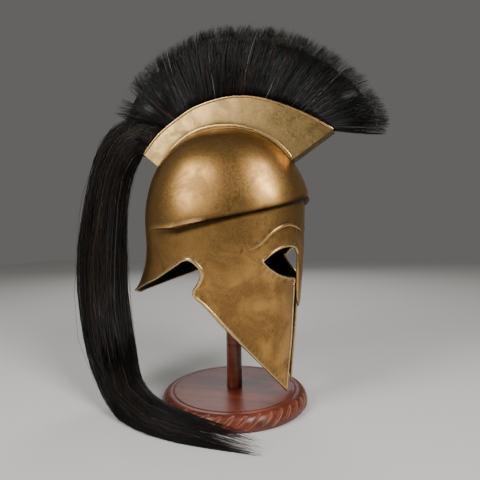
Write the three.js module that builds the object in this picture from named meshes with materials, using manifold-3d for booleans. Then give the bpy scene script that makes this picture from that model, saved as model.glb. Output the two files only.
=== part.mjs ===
// A Corinthian helmet with a horsehair crest, resting on its turned wooden stand.
//
// Millimetres, +Z up. The helmet faces -Y, its mirror plane is X = 0, and the origin is the centre of the
// stand's underside. The helmet's skin is a function of an azimuth, 0 at the nose and 180 at the nape, and
// a height. Its openings and rims are short tables of azimuth and height on that skin.
import * as THREE from 'three';
import { mergeVertices } from 'three/addons/utils/BufferGeometryUtils.js';
import Module from 'manifold-3d';

const wasm = await Module();
wasm.setup();

const { clamp, degToRad, lerp, smoothstep } = THREE.MathUtils;

// Driving dimensions.
const SHEET = 1.6;                 // brass wall of the helmet
const CREST_WALL = 1.2;            // brass wall of the crest holder
const GAP = 0.35;                  // clearance between neighbouring pieces
const AXIS_Y = 14;                 // centre of the helmet's horizontal sections
const FRONT_ROUND = 2.25;          // superellipse exponent of the front half, 2 is an ellipse
const BACK_ROUND = 2.15;           // and of the back half
const DOME = { top: 395, springing: 258, side: 96, front: 131, back: 111, shift: 2, power: 2.15 };
const LEDGE = { side: 253, rise: 43, reach: 110, power: 1.1, drop: 9, fadeFrom: 105, fadeTo: 150 };
const CREST = { halfWidth: 13.5, edgeBead: 3, lipWidth: 2.6, lipHeight: 5, lift: 0.9, lipLift: 2.1 };
const BASE = { radius: 105, flat: 91, height: 21, waist: 4.5, foot: 102 };
const POST = { radius: 11, sides: 28 };
const CAP = { radius: 34, thickness: 16, back: 8 };
const CROWN = DOME.top - SHEET - 1; // highest point of the stand, under the dome

// Half width, reach forward and reach back of the face and neck at each height.
const SECTIONS = [
  { z: 20, side: 58, front: 97.5, back: 141 },
  { z: 40, side: 62, front: 97.5, back: 141 },
  { z: 70, side: 68, front: 99.5, back: 141 },
  { z: 105, side: 75, front: 103, back: 141 },
  { z: 145, side: 82, front: 106, back: 141 },
  { z: 160, side: 84, front: 107.5, back: 138 },
  { z: 177, side: 86, front: 109, back: 127 },
  { z: 206, side: 89, front: 113, back: 116 },
  { z: 240, side: 90.5, front: 117.5, back: 112.5 },
  { z: 275, side: 90.5, front: 119, back: 111 },
  { z: 300, side: 90, front: 118.5, back: 110 },
];

// How far the nasal stands forward of the cheeks at each height.
const NASAL = [
  { z: 20, out: 3 }, { z: 120, out: 3.5 }, { z: 145, out: 7 }, { z: 181, out: 7.5 },
  { z: 215, out: 4 }, { z: 245, out: 0 },
];
const NASAL_FLANK = { from: 8, to: 14 };

// Edge curves on the skin, each row an azimuth in degrees and a height.
const NECK_EDGE = [
  { at: 180, z: 156 }, { at: 160, z: 163 }, { at: 141, z: 174 }, { at: 124, z: 185 },
  { at: 114, z: 195.5 }, { at: 106, z: 204.5 }, { at: 101, z: 210.5 }, { at: 97, z: 212 },
  { at: 93, z: 208 }, { at: 90.2, z: 201.5 }, { at: 89.3, z: 195 }, { at: 89.6, z: 188.5 },
  { at: 91.2, z: 179.5 }, { at: 93.6, z: 171.5 }, { at: 94.2, z: 166 },
];
const CHEEK_EDGE = [
  { at: 94.2, z: 166 }, { at: 85.5, z: 145 }, { at: 76.8, z: 125 }, { at: 60.5, z: 94 },
  { at: 36.8, z: 56.5 }, { at: 15, z: 29 },
];
const CHEEK_FRONT = [
  { at: 15, z: 29 }, { at: 12.5, z: 44 }, { at: 10, z: 67 }, { at: 8.7, z: 105 }, { at: 9.2, z: 144 },
  { at: 10, z: 176 },
];
const EYE_BOTTOM = [
  { at: 10, z: 176 }, { at: 11, z: 182.5 }, { at: 22.8, z: 186 }, { at: 31.3, z: 189.5 },
  { at: 37.2, z: 193 }, { at: 45, z: 201.5 }, { at: 48.5, z: 208.5 },
];
const EYE_TOP = [
  { at: 48.5, z: 208.5 }, { at: 42, z: 220 }, { at: 35, z: 226 }, { at: 28.8, z: 228.7 },
  { at: 21.2, z: 229 }, { at: 14.3, z: 225 }, { at: 10, z: 217 },
];
const NASAL_EDGE = [
  { at: 10, z: 217 }, { at: 7.3, z: 204 }, { at: 6.3, z: 188 }, { at: 5.8, z: 150 }, { at: 5, z: 135 },
  { at: 2.8, z: 127.5 }, { at: 0, z: 125 },
];
const BROW_BEAD = [
  { at: 63.5, z: 222 }, { at: 56.8, z: 225.5 }, { at: 49.8, z: 234 }, { at: 42.8, z: 245 },
  { at: 34, z: 252.5 }, { at: 26.5, z: 254.5 }, { at: 16.8, z: 251.5 }, { at: 6, z: 246 },
];

// Top edge of the crest holder from its front tip to its rear end.
const CREST_TOP = [
  { y: -147, z: 379 }, { y: -103, z: 407 }, { y: -49, z: 430.5 }, { y: -3, z: 437 }, { y: 46, z: 429 },
  { y: 81, z: 412 }, { y: 110, z: 392.5 }, { y: 134.5, z: 366.5 },
];
const CREST_FOOT = { front: { y: -91 }, rear: { y: 106 } };

// Where the fan's hair ends, for hair rooted at each share of the way along the holder.
const FAN = [
  { share: 0, y: -214, z: 374 }, { share: 0.035, y: -219, z: 391 }, { share: 0.07, y: -208, z: 417 },
  { share: 0.12, y: -190, z: 446 }, { share: 0.18, y: -164, z: 473 }, { share: 0.26, y: -132, z: 499 },
  { share: 0.36, y: -91, z: 522 }, { share: 0.46, y: -50, z: 534 }, { share: 0.56, y: -10, z: 543 },
  { share: 0.66, y: 32, z: 544 }, { share: 0.76, y: 77, z: 531 }, { share: 0.86, y: 113, z: 517 },
  { share: 0.94, y: 145, z: 497 }, { share: 1, y: 172, z: 460 },
];
const FAN_LOCKS = 26;
const FAN_SPLIT = 96;              // Y where the fan's backing ends and the tail's root begins
const FAN_THICKNESS = [
  { out: -0.08, half: 10 }, { out: 0.32, half: 16.5 }, { out: 0.62, half: 19.5 }, { out: 0.86, half: 13 },
];

// Middle line of the tail, with the half width and half thickness of the hair.
const TAIL = [
  { x: 0, y: 113, z: 381, wide: 11, thick: 9.5 }, { x: 0, y: 140, z: 402.5, wide: 18, thick: 11.6 },
  { x: 0, y: 168, z: 389, wide: 28, thick: 17 }, { x: -1, y: 192, z: 360, wide: 32, thick: 20 },
  { x: -4, y: 205, z: 318, wide: 34, thick: 22 }, { x: -9, y: 211, z: 266, wide: 38, thick: 23 },
  { x: -17, y: 211, z: 206, wide: 42, thick: 24 }, { x: -28, y: 202, z: 146, wide: 41, thick: 24 },
  { x: -43, y: 182, z: 90, wide: 41, thick: 23 }, { x: -66, y: 152, z: 46, wide: 37, thick: 21 },
  { x: -94, y: 116, z: 24, wide: 32, thick: 17 }, { x: -116, y: 75, z: 15, wide: 29, thick: 13 },
  { x: -127, y: 36, z: 11.5, wide: 25, thick: 10.5 }, { x: -131, y: 4, z: 9.5, wide: 19, thick: 8.5 },
];
const TAIL_TIPS = [
  { x: -118, y: -38, z: 4 }, { x: -131, y: -86, z: 3.5 }, { x: -146, y: -46, z: 4 },
  { x: -125, y: -62, z: 4 }, { x: -139, y: -70, z: 4 },
];

// A cubic through the rows of a table: the value of a column where the table's first column is `at`.
function sample(rows, by, column, at) {
  const last = rows.length - 1;
  const x = clamp(at, rows[0][by], rows[last][by]);
  let i = 0;
  while (i < last - 1 && x > rows[i + 1][by]) i += 1;
  const slope = (j) => {
    const low = rows[Math.max(j - 1, 0)];
    const high = rows[Math.min(j + 1, last)];
    return (high[column] - low[column]) / (high[by] - low[by]);
  };
  const span = rows[i + 1][by] - rows[i][by];
  const t = (x - rows[i][by]) / span;
  const [a, b] = [rows[i][column], rows[i + 1][column]];
  const [da, db] = [slope(i) * span, slope(i + 1) * span];
  return a + t * (da + t * (3 * (b - a) - 2 * da - db + t * (2 * (a - b) + da + db)));
}

// One horizontal section: a superellipse with its own reach forward and back.
function section(azimuth, side, front, back, centre) {
  const [s, c] = [Math.sin(azimuth), Math.cos(azimuth)];
  const power = 2 / (c > 0 ? FRONT_ROUND : BACK_ROUND);
  const reach = c > 0 ? front : back;
  return new THREE.Vector2(
    side * Math.sign(s) * Math.abs(s) ** power,
    centre - reach * Math.sign(c) * Math.abs(c) ** power,
  );
}

function ledgeHeight(azimuth) {
  const share = 1 - Math.min(Math.abs(azimuth) / degToRad(LEDGE.reach), 1);
  return LEDGE.side + LEDGE.rise * share ** LEDGE.power;
}

// The outer skin. Above the brow ledge it is the dome, below it the narrower face and neck.
function skin(azimuth, z) {
  const face = section(
    azimuth, sample(SECTIONS, 'z', 'side', z), sample(SECTIONS, 'z', 'front', z),
    sample(SECTIONS, 'z', 'back', z), AXIS_Y,
  );
  const flank = 1 - smoothstep(Math.abs(face.x), NASAL_FLANK.from, NASAL_FLANK.to);
  if (Math.cos(azimuth) > 0) face.y -= flank * sample(NASAL, 'z', 'out', z);
  const up = clamp((z - DOME.springing) / (DOME.top - DOME.springing), 0, 1);
  const shrink = (1 - up ** DOME.power) ** (1 / DOME.power);
  const dome = section(
    azimuth, DOME.side * shrink, DOME.front * shrink, DOME.back * shrink, AXIS_Y + DOME.shift,
  );
  const above = z - ledgeHeight(azimuth);
  const crisp = clamp(1 + above / LEDGE.drop, 0, 1);
  const soft = smoothstep(above, -35, 10);
  const fade = smoothstep(Math.abs(azimuth), degToRad(LEDGE.fadeFrom), degToRad(LEDGE.fadeTo));
  face.lerp(dome, lerp(crisp, soft, fade));
  return new THREE.Vector3(face.x, face.y, z);
}

function skinNormal(azimuth, z) {
  const [turn, rise] = [0.01, 0.5];
  const top = DOME.top - 0.01;
  const high = Math.min(z + rise, top);
  const low = Math.min(z - rise, high - rise);
  const across = skin(azimuth + turn, z).sub(skin(azimuth - turn, z));
  const along = skin(azimuth, high).sub(skin(azimuth, low));
  return across.cross(along).normalize();
}

// A point on the skin moved out along its normal.
function skinAt(azimuth, z, out) {
  return skin(azimuth, z).addScaledVector(skinNormal(azimuth, z), out);
}

// A closed solid from rings of points: rings[i][j], with a cap or a pole at each end.
function solidFromRings(rings, { closed = false } = {}) {
  const points = rings.flat();
  const count = rings[0].length;
  const index = [];
  const steps = closed ? rings.length : rings.length - 1;
  for (let i = 0; i < steps; i += 1) {
    const next = (i + 1) % rings.length;
    for (let j = 0; j < count; j += 1) {
      const k = (j + 1) % count;
      const [a, b, c, d] = [i * count + j, i * count + k, next * count + k, next * count + j];
      index.push(a, b, c, a, c, d);
    }
  }
  if (!closed) {
    for (const [ring, flip] of [[0, true], [rings.length - 1, false]]) {
      const centre = rings[ring].reduce((sum, p) => sum.add(p), new THREE.Vector3()).divideScalar(count);
      points.push(centre);
      for (let j = 0; j < count; j += 1) {
        const [a, b] = [ring * count + j, ring * count + ((j + 1) % count)];
        index.push(...(flip ? [b, a] : [a, b]), points.length - 1);
      }
    }
  }
  const geometry = new THREE.BufferGeometry().setFromPoints(points);
  geometry.setIndex(index);
  return geometry;
}

function toManifold(geometry) {
  const bare = geometry.clone();
  bare.deleteAttribute('normal');
  bare.deleteAttribute('uv');
  const merged = mergeVertices(bare, 1e-4);
  const mesh = new wasm.Mesh({
    numProp: 3,
    vertProperties: new Float32Array(merged.getAttribute('position').array),
    triVerts: new Uint32Array(merged.getIndex().array),
  });
  const solid = new wasm.Manifold(mesh);
  if (solid.volume() > 0) return solid;
  for (let i = 0; i < mesh.triVerts.length; i += 3) {
    [mesh.triVerts[i], mesh.triVerts[i + 1]] = [mesh.triVerts[i + 1], mesh.triVerts[i]];
  }
  return new wasm.Manifold(mesh);
}

function fromManifold(solid) {
  const mesh = solid.getMesh();
  const geometry = new THREE.BufferGeometry();
  geometry.setAttribute('position', new THREE.BufferAttribute(mesh.vertProperties, 3));
  geometry.setIndex(new THREE.BufferAttribute(mesh.triVerts, 1));
  return geometry;
}

function union(solids) {
  return solids.reduce((sum, solid) => sum.add(solid));
}

// An outline in two coordinates drawn out along the third: `place` puts (u, v, depth) in space.
function prism(outline, from, to, place) {
  const shape = new THREE.Shape(outline);
  const geometry = new THREE.ExtrudeGeometry(shape, { depth: to - from, bevelEnabled: false, steps: 1 });
  const position = geometry.getAttribute('position');
  for (let i = 0; i < position.count; i += 1) {
    const [x, y, z] = place(position.getX(i), position.getY(i), position.getZ(i) + from);
    position.setXYZ(i, x, y, z);
  }
  return toManifold(geometry);
}

// Evenly spaced azimuth and height pairs along a smooth line through a table's rows.
function smoothEdge(rows, count) {
  const curve = new THREE.CatmullRomCurve3(
    rows.map((row) => new THREE.Vector3(row.at * 1.6, row.z, 0)), false, 'centripetal',
  );
  return curve.getSpacedPoints(count).map((p) => ({ azimuth: degToRad(p.x / 1.6), z: p.y }));
}

// A raised bead along an edge of the skin: a flat-topped strip that stands out by `high`, reaches
// `deep` into the sheet and is `half` wide to each side.
function bead(edge, mirror, { half, high, deep }) {
  const spots = edge.map(({ azimuth, z }) => ({
    point: skin(azimuth * mirror, z), normal: skinNormal(azimuth * mirror, z),
  }));
  const rings = spots.map(({ point, normal }, i) => {
    const before = spots[Math.max(i - 1, 0)].point;
    const after = spots[Math.min(i + 1, spots.length - 1)].point;
    const across = after.clone().sub(before).cross(normal).normalize();
    const corner = (u, v) => point.clone().addScaledVector(across, u).addScaledVector(normal, v);
    return [corner(-half, -deep), corner(-half * 0.6, high), corner(half * 0.6, high), corner(half, -deep)];
  });
  return toManifold(solidFromRings(rings));
}

// Rows of heights up one meridian of the shell: face and neck, ledge, then dome to just short of the top.
function meridian(azimuth) {
  const [faceRows, domeRows] = [9, 7];
  const ledge = ledgeHeight(azimuth);
  const behind = smoothstep(Math.abs(azimuth), degToRad(96), degToRad(130));
  const bottom = lerp(20, 148, behind);
  const heights = [];
  for (let i = 0; i <= faceRows; i += 1) {
    heights.push(lerp(bottom, ledge - LEDGE.drop, i / faceRows));
  }
  for (let i = 0; i < domeRows; i += 1) {
    heights.push(lerp(ledge, DOME.top, Math.sin((i / domeRows) * Math.PI / 2)));
  }
  return heights;
}

// Azimuths once round, closer together at the nose where the nasal bends.
function columns(count, crowding) {
  return Array.from({ length: count }, (_, i) => {
    const even = ((i + 0.5) / count) * 2 * Math.PI - Math.PI;
    return even - crowding * Math.sin(even);
  });
}

// A cup: the skin moved out by `outer` and, inside it, by `inner`.
function cup(outer, inner) {
  const around = columns(52, 0.5);
  const heights = around.map(meridian);
  const layer = (out) => heights[0].map((_, row) => around.map((a, j) => skinAt(a, heights[j][row], out)));
  const top = (out) => around.map(() => new THREE.Vector3(0, AXIS_Y + DOME.shift, DOME.top + out));
  const rings = [...layer(outer), top(outer), top(inner), ...layer(inner).reverse()];
  return toManifold(weld(solidFromRings(rings, { closed: true })));
}

// Drops the triangles that have no area where a ring is a single point.
function weld(geometry) {
  const merged = mergeVertices(geometry, 1e-4);
  const index = Array.from(merged.getIndex().array);
  const kept = [];
  for (let i = 0; i < index.length; i += 3) {
    const [a, b, c] = index.slice(i, i + 3);
    if (a !== b && b !== c && c !== a) kept.push(a, b, c);
  }
  merged.setIndex(kept);
  return merged;
}

// The height of the dome where the crest holder's plates meet it.
function domeHeight(x, y) {
  const reach = y < AXIS_Y + DOME.shift ? DOME.front : DOME.back;
  const round = y < AXIS_Y + DOME.shift ? FRONT_ROUND : BACK_ROUND;
  const across = Math.abs(x / DOME.side) ** round + Math.abs((y - AXIS_Y - DOME.shift) / reach) ** round;
  const shrink = across ** (1 / round);
  const up = Math.max(1 - shrink ** DOME.power, 0) ** (1 / DOME.power);
  return DOME.springing + (DOME.top - DOME.springing) * up;
}

function makeHelmetShell() {
  const side = ({ azimuth, z }) => skin(azimuth, z);
  const neck = smoothEdge(NECK_EDGE, 21);
  const cheek = smoothEdge(CHEEK_EDGE, 10);
  const front = smoothEdge(CHEEK_FRONT, 6);
  const eyeBottom = smoothEdge(EYE_BOTTOM, 8);
  const eyeTop = smoothEdge(EYE_TOP, 9);
  const nasal = smoothEdge(NASAL_EDGE, 8);

  // Everything below the neck guard, ear notches and cheeks, seen from the side.
  const rim = [...neck, ...cheek.slice(1)].map((spot) => {
    const { y, z } = side(spot);
    return new THREE.Vector2(y, z);
  });
  const tip = rim.at(-1);
  const below = [
    new THREE.Vector2(200, rim[0].y), ...rim, new THREE.Vector2(-160, tip.y), new THREE.Vector2(-160, 0),
    new THREE.Vector2(200, 0),
  ];
  const lowerCut = prism(below, -140, 140, (y, z, depth) => [depth, y, z]);

  // The two eyes and the slit between the cheeks, seen from the front, round the nasal.
  const half = [...front, ...eyeBottom.slice(1), ...eyeTop.slice(1), ...nasal.slice(1)];
  const right = half.map((spot) => {
    const { x, z } = side(spot);
    return new THREE.Vector2(x, z);
  });
  const left = right.slice(0, -1).reverse().map(({ x, y }) => new THREE.Vector2(-x, y));
  const foot = new THREE.Vector2(right[0].x, 10);
  const faceOutline = [foot, ...right, ...left, new THREE.Vector2(-foot.x, foot.y)];
  const faceCut = prism(faceOutline, -200, -40, (x, z, depth) => [x, depth, z]);

  const rolled = { half: 2.1, high: 1.6, deep: SHEET + 0.6 };
  const thin = { half: 1.4, high: 0.9, deep: SHEET + 0.3 };
  const eyeRim = { half: 1.7, high: 1.4, deep: SHEET + 0.8 };
  const brow = { half: 2, high: 1.5, deep: SHEET + 0.4 };
  const beads = [1, -1].flatMap((mirror) => [
    bead(neck, mirror, thin), bead(cheek, mirror, rolled), bead(front, mirror, thin),
    bead(eyeBottom, mirror, eyeRim), bead(eyeTop, mirror, eyeRim),
    bead(smoothEdge(BROW_BEAD, 10), mirror, brow),
  ]);
  const sheet = cup(0, -SHEET).subtract(lowerCut).subtract(faceCut);
  return union([sheet, ...beads]);
}

// The crest holder's side outline, `inset` inside its ends and top edge. Its foot follows the dome.
function crestOutline(inset) {
  const footSteps = 14;
  const top = new THREE.SplineCurve(CREST_TOP.map(({ y, z }) => new THREE.Vector2(y, z))).getPoints(16);
  const { front, rear } = CREST_FOOT;
  const lowered = top.map(({ x: y, y: z }) => new THREE.Vector2(y, z - inset * 0.6));
  const [first, last] = [lowered[0], lowered.at(-1)];
  first.add(new THREE.Vector2(inset * 2.2, inset * 0.4));
  last.add(new THREE.Vector2(-inset * 1.5, inset * 0.2));
  const foot = Array.from({ length: footSteps + 1 }, (_, i) => {
    const y = lerp(rear.y - inset * 1.2, front.y + inset * 1.2, i / footSteps);
    return new THREE.Vector2(y, domeHeight(0, y) + CREST.lift);
  });
  return { top: lowered, outline: [...lowered, ...foot] };
}

const acrossX = (y, z, depth) => [depth, y, z];

// A bar of a small oval section along a line that keeps to one plane X = constant.
function wire(points, width, height, sides = 6) {
  const rings = points.map((point, i) => {
    const ahead = points[Math.min(i + 1, points.length - 1)].clone();
    const along = ahead.sub(points[Math.max(i - 1, 0)]).normalize();
    const across = new THREE.Vector3(1, 0, 0);
    const up = across.clone().cross(along);
    return Array.from({ length: sides }, (_, k) => {
      const turn = (k / sides) * 2 * Math.PI;
      return point.clone().addScaledVector(across, (width / 2) * Math.cos(turn))
        .addScaledVector(up, (height / 2) * Math.sin(turn));
    });
  });
  return toManifold(solidFromRings(rings));
}

function makeCrestHolder() {
  const outer = crestOutline(0);
  const inner = crestOutline(CREST_WALL);
  const width = CREST.halfWidth;
  const block = prism(outer.outline, -width, width, acrossX);
  const mouth = [inner.top.at(-1), inner.top[0]].map((p) => p.clone().add(new THREE.Vector2(0, 90)));
  const foot = inner.outline.slice(inner.top.length).map((p) => p.clone().add(new THREE.Vector2(0, -4)));
  const channel = prism(
    [inner.top[0], ...mouth.reverse(), inner.top.at(-1), ...foot],
    -width + CREST_WALL, width - CREST_WALL, acrossX,
  );
  const bars = [-1, 1].flatMap((side) => {
    const edge = outer.top.map(({ x: y, y: z }) => new THREE.Vector3(side * width, y, z));
    const lipX = side * (width + 0.4);
    const lip = outer.outline.slice(outer.top.length).map(({ x: y }) => (
      new THREE.Vector3(lipX, y, domeHeight(lipX, y) + CREST.lipLift + CREST.lipHeight / 2)
    ));
    return [
      wire(edge, CREST.edgeBead, CREST.edgeBead), wire(lip, CREST.lipWidth, CREST.lipHeight),
    ];
  });
  return union([block.subtract(channel), ...bars]);
}

// A point of the fan at `share` of the way from front to rear and `out` from root to tip.
function fanPoint(share, out) {
  const curve = new THREE.SplineCurve(CREST_TOP.map(({ y, z }) => new THREE.Vector2(y, z - 1)));
  const from = curve.getPoint(lerp(0.035, 0.72, share));
  const tip = new THREE.Vector2(sample(FAN, 'share', 'y', share), sample(FAN, 'share', 'z', share));
  return from.lerp(tip, out);
}

function makeCrestPlume() {
  const inset = crestOutline(CREST_WALL + GAP);
  const width = CREST.halfWidth - CREST_WALL - GAP;
  const backing = prism(inset.outline, -width, width, acrossX)
    .trimByPlane([0, -1, 0], -FAN_SPLIT);
  const perLock = 3;
  const sections = FAN_LOCKS * perLock;
  const rings = Array.from({ length: sections + 1 }, (_, i) => {
    const phase = (i / perLock) * 2 * Math.PI;
    const lock = Math.floor(i / perLock);
    const full = 0.5 - 0.5 * Math.cos(phase);
    const length = 0.93 + 0.07 * full + 0.02 * Math.sin(lock * 2.4);
    const bulk = 0.74 + 0.26 * full;
    const taper = Math.min(1, 0.55 + 6 * Math.min(i, sections - i) / sections);
    const near = FAN_THICKNESS.map(({ out, half }) => {
      const p = fanPoint(i / sections, out * length);
      return [half * (out < 0 ? 1 : bulk * taper), p.x, p.y];
    });
    const tip = fanPoint(i / sections, length);
    const right = near.map(([x, y, z]) => new THREE.Vector3(x, y, z));
    const left = near.map(([x, y, z]) => new THREE.Vector3(-x, y, z)).reverse();
    return [...right, new THREE.Vector3(0, tip.x, tip.y), ...left];
  });
  return backing.add(toManifold(solidFromRings(rings)));
}

// Rings of hair round a middle line: `ridges` locks stand out of each ring.
function hairRings(rows, steps, ridges) {
  const line = new THREE.CatmullRomCurve3(rows.map(({ x, y, z }) => new THREE.Vector3(x, y, z)));
  const count = ridges * 2;
  return Array.from({ length: steps + 1 }, (_, i) => {
    const t = i / steps;
    const spot = t * (rows.length - 1);
    const table = rows.map((row, at) => ({ at, ...row }));
    const wide = sample(table, 'at', 'wide', spot);
    const thick = sample(table, 'at', 'thick', spot);
    const point = line.getPoint(t);
    const along = line.getTangent(t);
    const flat = new THREE.Vector3(1, 0, 0).addScaledVector(along, -along.x).normalize();
    const across = along.clone().cross(flat);
    return Array.from({ length: count }, (_, k) => {
      const turn = (k / count) * 2 * Math.PI;
      const ridge = k % 2 ? 0.8 : 1;
      return point.clone().addScaledVector(across, wide * ridge * Math.cos(turn))
        .addScaledVector(flat, thick * ridge * Math.sin(turn));
    });
  });
}

function makeTailPlume() {
  const inset = crestOutline(CREST_WALL + GAP * 2);
  const width = CREST.halfWidth - CREST_WALL - GAP;
  const root = prism(inset.outline, -width, width, acrossX)
    .trimByPlane([0, 1, 0], FAN_SPLIT + GAP);
  const body = toManifold(solidFromRings(hairRings(TAIL, 24, 8)));
  const end = TAIL.at(-1);
  const tips = TAIL_TIPS.map((tip, i) => {
    const side = i - (TAIL_TIPS.length - 1) / 2;
    const start = { ...TAIL.at(-2), wide: 13, thick: 8.5 };
    const middle = { x: end.x - side * 5, y: end.y, z: end.z, wide: 9, thick: 7 };
    const near = { x: lerp(end.x, tip.x, 0.6), y: lerp(end.y, tip.y, 0.55), z: 6, wide: 6, thick: 4.5 };
    const point = { ...tip, wide: 1.6, thick: 1.6 };
    return toManifold(solidFromRings(hairRings([start, middle, near, point], 6, 3)));
  });
  return union([root, body, ...tips]).trimByPlane([0, 0, 1], 0);
}

function makeStandBase() {
  const { radius, flat, height, waist, foot } = BASE;
  const profile = [new THREE.Vector2(0, 0), new THREE.Vector2(foot, 0)];
  for (let i = 0; i <= 4; i += 1) {
    const turn = (i / 4) * Math.PI / 2;
    profile.push(new THREE.Vector2(
      flat + (radius - flat) * Math.cos(turn) ** 0.8, waist + (height - waist) * Math.sin(turn),
    ));
  }
  profile.push(new THREE.Vector2(0, height));
  return new THREE.LatheGeometry(profile, 48).rotateX(Math.PI / 2);
}

function makeStandPost() {
  const [low, high] = [BASE.height + GAP, CROWN - CAP.thickness - GAP];
  return new THREE.CylinderGeometry(POST.radius, POST.radius, high - low, POST.sides)
    .rotateX(Math.PI / 2).translate(0, 0, (low + high) / 2);
}

// A plain round head on the post, under the crown of the dome.
function makeStandCap() {
  const { radius, thickness, back } = CAP;
  const profile = [
    [0, thickness], [radius, thickness], [radius, 9.5], [radius * 0.75, 5.2], [radius * 0.35, 1.7], [0, 0.6],
  ].map(([r, down]) => new THREE.Vector2(r, CROWN - down));
  return new THREE.LatheGeometry(profile, 28).rotateX(Math.PI / 2).translate(0, back, 0);
}

function part(name, shape, colour, { metalness = 0, roughness = 0.6 } = {}) {
  const geometry = shape instanceof THREE.BufferGeometry ? shape : fromManifold(shape);
  const material = new THREE.MeshStandardMaterial({ color: colour, metalness, roughness });
  const mesh = new THREE.Mesh(geometry, material);
  mesh.name = name;
  return mesh;
}

const helmet = new THREE.Group();
helmet.add(
  part('helmet_shell', makeHelmetShell(), '#a07a3a', { metalness: 1, roughness: 0.35 }),
  part('crest_holder', makeCrestHolder(), '#b39a63', { metalness: 1, roughness: 0.35 }),
  part('crest_plume', makeCrestPlume(), '#15120f', { roughness: 0.7 }),
  part('tail_plume', makeTailPlume(), '#15120f', { roughness: 0.7 }),
  part('stand_base', makeStandBase(), '#6b2f1c', { roughness: 0.45 }),
  part('stand_post', makeStandPost(), '#5a2a1a', { roughness: 0.45 }),
  part('stand_cap', makeStandCap(), '#5a2a1a', { roughness: 0.6 }),
);

export default helmet;
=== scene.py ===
"""A Corinthian helmet with a horsehair crest on its turned wooden stand.

Shapes are worked out in millimetres, with +Z up, the helmet facing -Y and the stand's underside at the
origin, and become metres when their meshes are made. The helmet's skin is a function of an azimuth,
0 at the nose and 180 at the nape, and a height.
"""
import math

import bpy
import numpy as np
from bpy.props import FloatProperty, FloatVectorProperty, IntProperty, PointerProperty
from mathutils import Matrix, Vector


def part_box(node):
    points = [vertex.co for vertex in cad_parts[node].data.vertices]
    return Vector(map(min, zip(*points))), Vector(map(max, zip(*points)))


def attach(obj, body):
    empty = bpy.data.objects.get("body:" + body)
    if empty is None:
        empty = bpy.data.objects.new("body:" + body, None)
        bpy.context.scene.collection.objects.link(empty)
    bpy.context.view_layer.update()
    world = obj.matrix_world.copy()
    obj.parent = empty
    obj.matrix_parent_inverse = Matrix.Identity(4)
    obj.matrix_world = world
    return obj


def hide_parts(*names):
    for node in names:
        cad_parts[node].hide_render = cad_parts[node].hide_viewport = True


bl_info = {
    "name": "Corinthian helmet on a stand",
    "version": (1, 0, 0),
    "blender": (4, 5, 0),
    "location": "View3D > Sidebar > Helmet",
    "description": "Beaten brass helmet, crest box, horsehair plumes and carved stand",
    "category": "Add Mesh",
}

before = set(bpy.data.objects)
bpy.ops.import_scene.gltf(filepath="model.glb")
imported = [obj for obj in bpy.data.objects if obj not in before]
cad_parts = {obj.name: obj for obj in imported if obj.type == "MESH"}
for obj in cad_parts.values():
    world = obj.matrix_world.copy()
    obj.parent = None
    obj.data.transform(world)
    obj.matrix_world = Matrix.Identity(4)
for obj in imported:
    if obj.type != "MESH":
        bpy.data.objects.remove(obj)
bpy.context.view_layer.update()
MM = 0.001


def node_box(name):
    """Lowest and highest corners of a node of the frame, in millimetres."""
    low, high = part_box(name)
    return np.array(low) / MM, np.array(high) / MM


BASE_RADIUS, BASE_HEIGHT = node_box("stand_base")[1][[0, 2]].tolist()
POST_LOW, POST_HIGH = node_box("stand_post")
CAP_LOW, CAP_HIGH = node_box("stand_cap")
CROWN_TOP = float(node_box("helmet_shell")[1][2])

# The helmet's skin --------------------------------------------------------------------------------

AXIS_Y = 14.0
FRONT_ROUND, BACK_ROUND = 2.25, 2.15
DOME = {"top": CROWN_TOP, "springing": 258.0, "side": 96.0, "front": 131.0, "back": 111.0,
        "shift": 2.0, "power": 2.15}
LEDGE = {"side": 253.0, "rise": 43.0, "reach": 110.0, "power": 1.1, "drop": 9.0,
         "fade_from": 105.0, "fade_to": 150.0}

# Half width, reach forward and reach back of the face and neck at each height.
SECTIONS = {
    "z": [20, 40, 70, 105, 145, 160, 177, 206, 240, 275, 300],
    "side": [58, 62, 68, 75, 82, 84, 86, 89, 90.5, 90.5, 90],
    "front": [97.5, 97.5, 99.5, 103, 106, 107.5, 109, 113, 117.5, 119, 118.5],
    "back": [141, 141, 141, 141, 141, 138, 127, 116, 112.5, 111, 110],
}
# How far the nasal stands forward of the cheeks.
NASAL = {"z": [20, 130, 145, 181, 215, 245], "out": [3, 3, 4.6, 4.8, 2.6, 0]}
NASAL_FLANK = (8.0, 14.0)
CUP_COLUMNS = 240                  # meridians of the beaten sheet
# Where the uncut sheet ends below: at the face, at the nape, and the azimuths between the two.
CUP_BOTTOM = {"face": 20.0, "nape": 148.0, "from": 96, "to": 130}
# The cutting prisms run past the sheet: backward, forward and to each side; the face's starts and
# ends at these depths.
CUT_BACK, CUT_FRONT, CUT_SIDE, CUT_FACE = 200.0, -160.0, 140.0, (-200.0, -40.0)
CUT_FOOT = 10.0                    # lowest height of the face's opening, below the cheek tips
MM_PER_DEGREE = 1.6                # near enough to the helmet's girth, to space an edge's points

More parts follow.
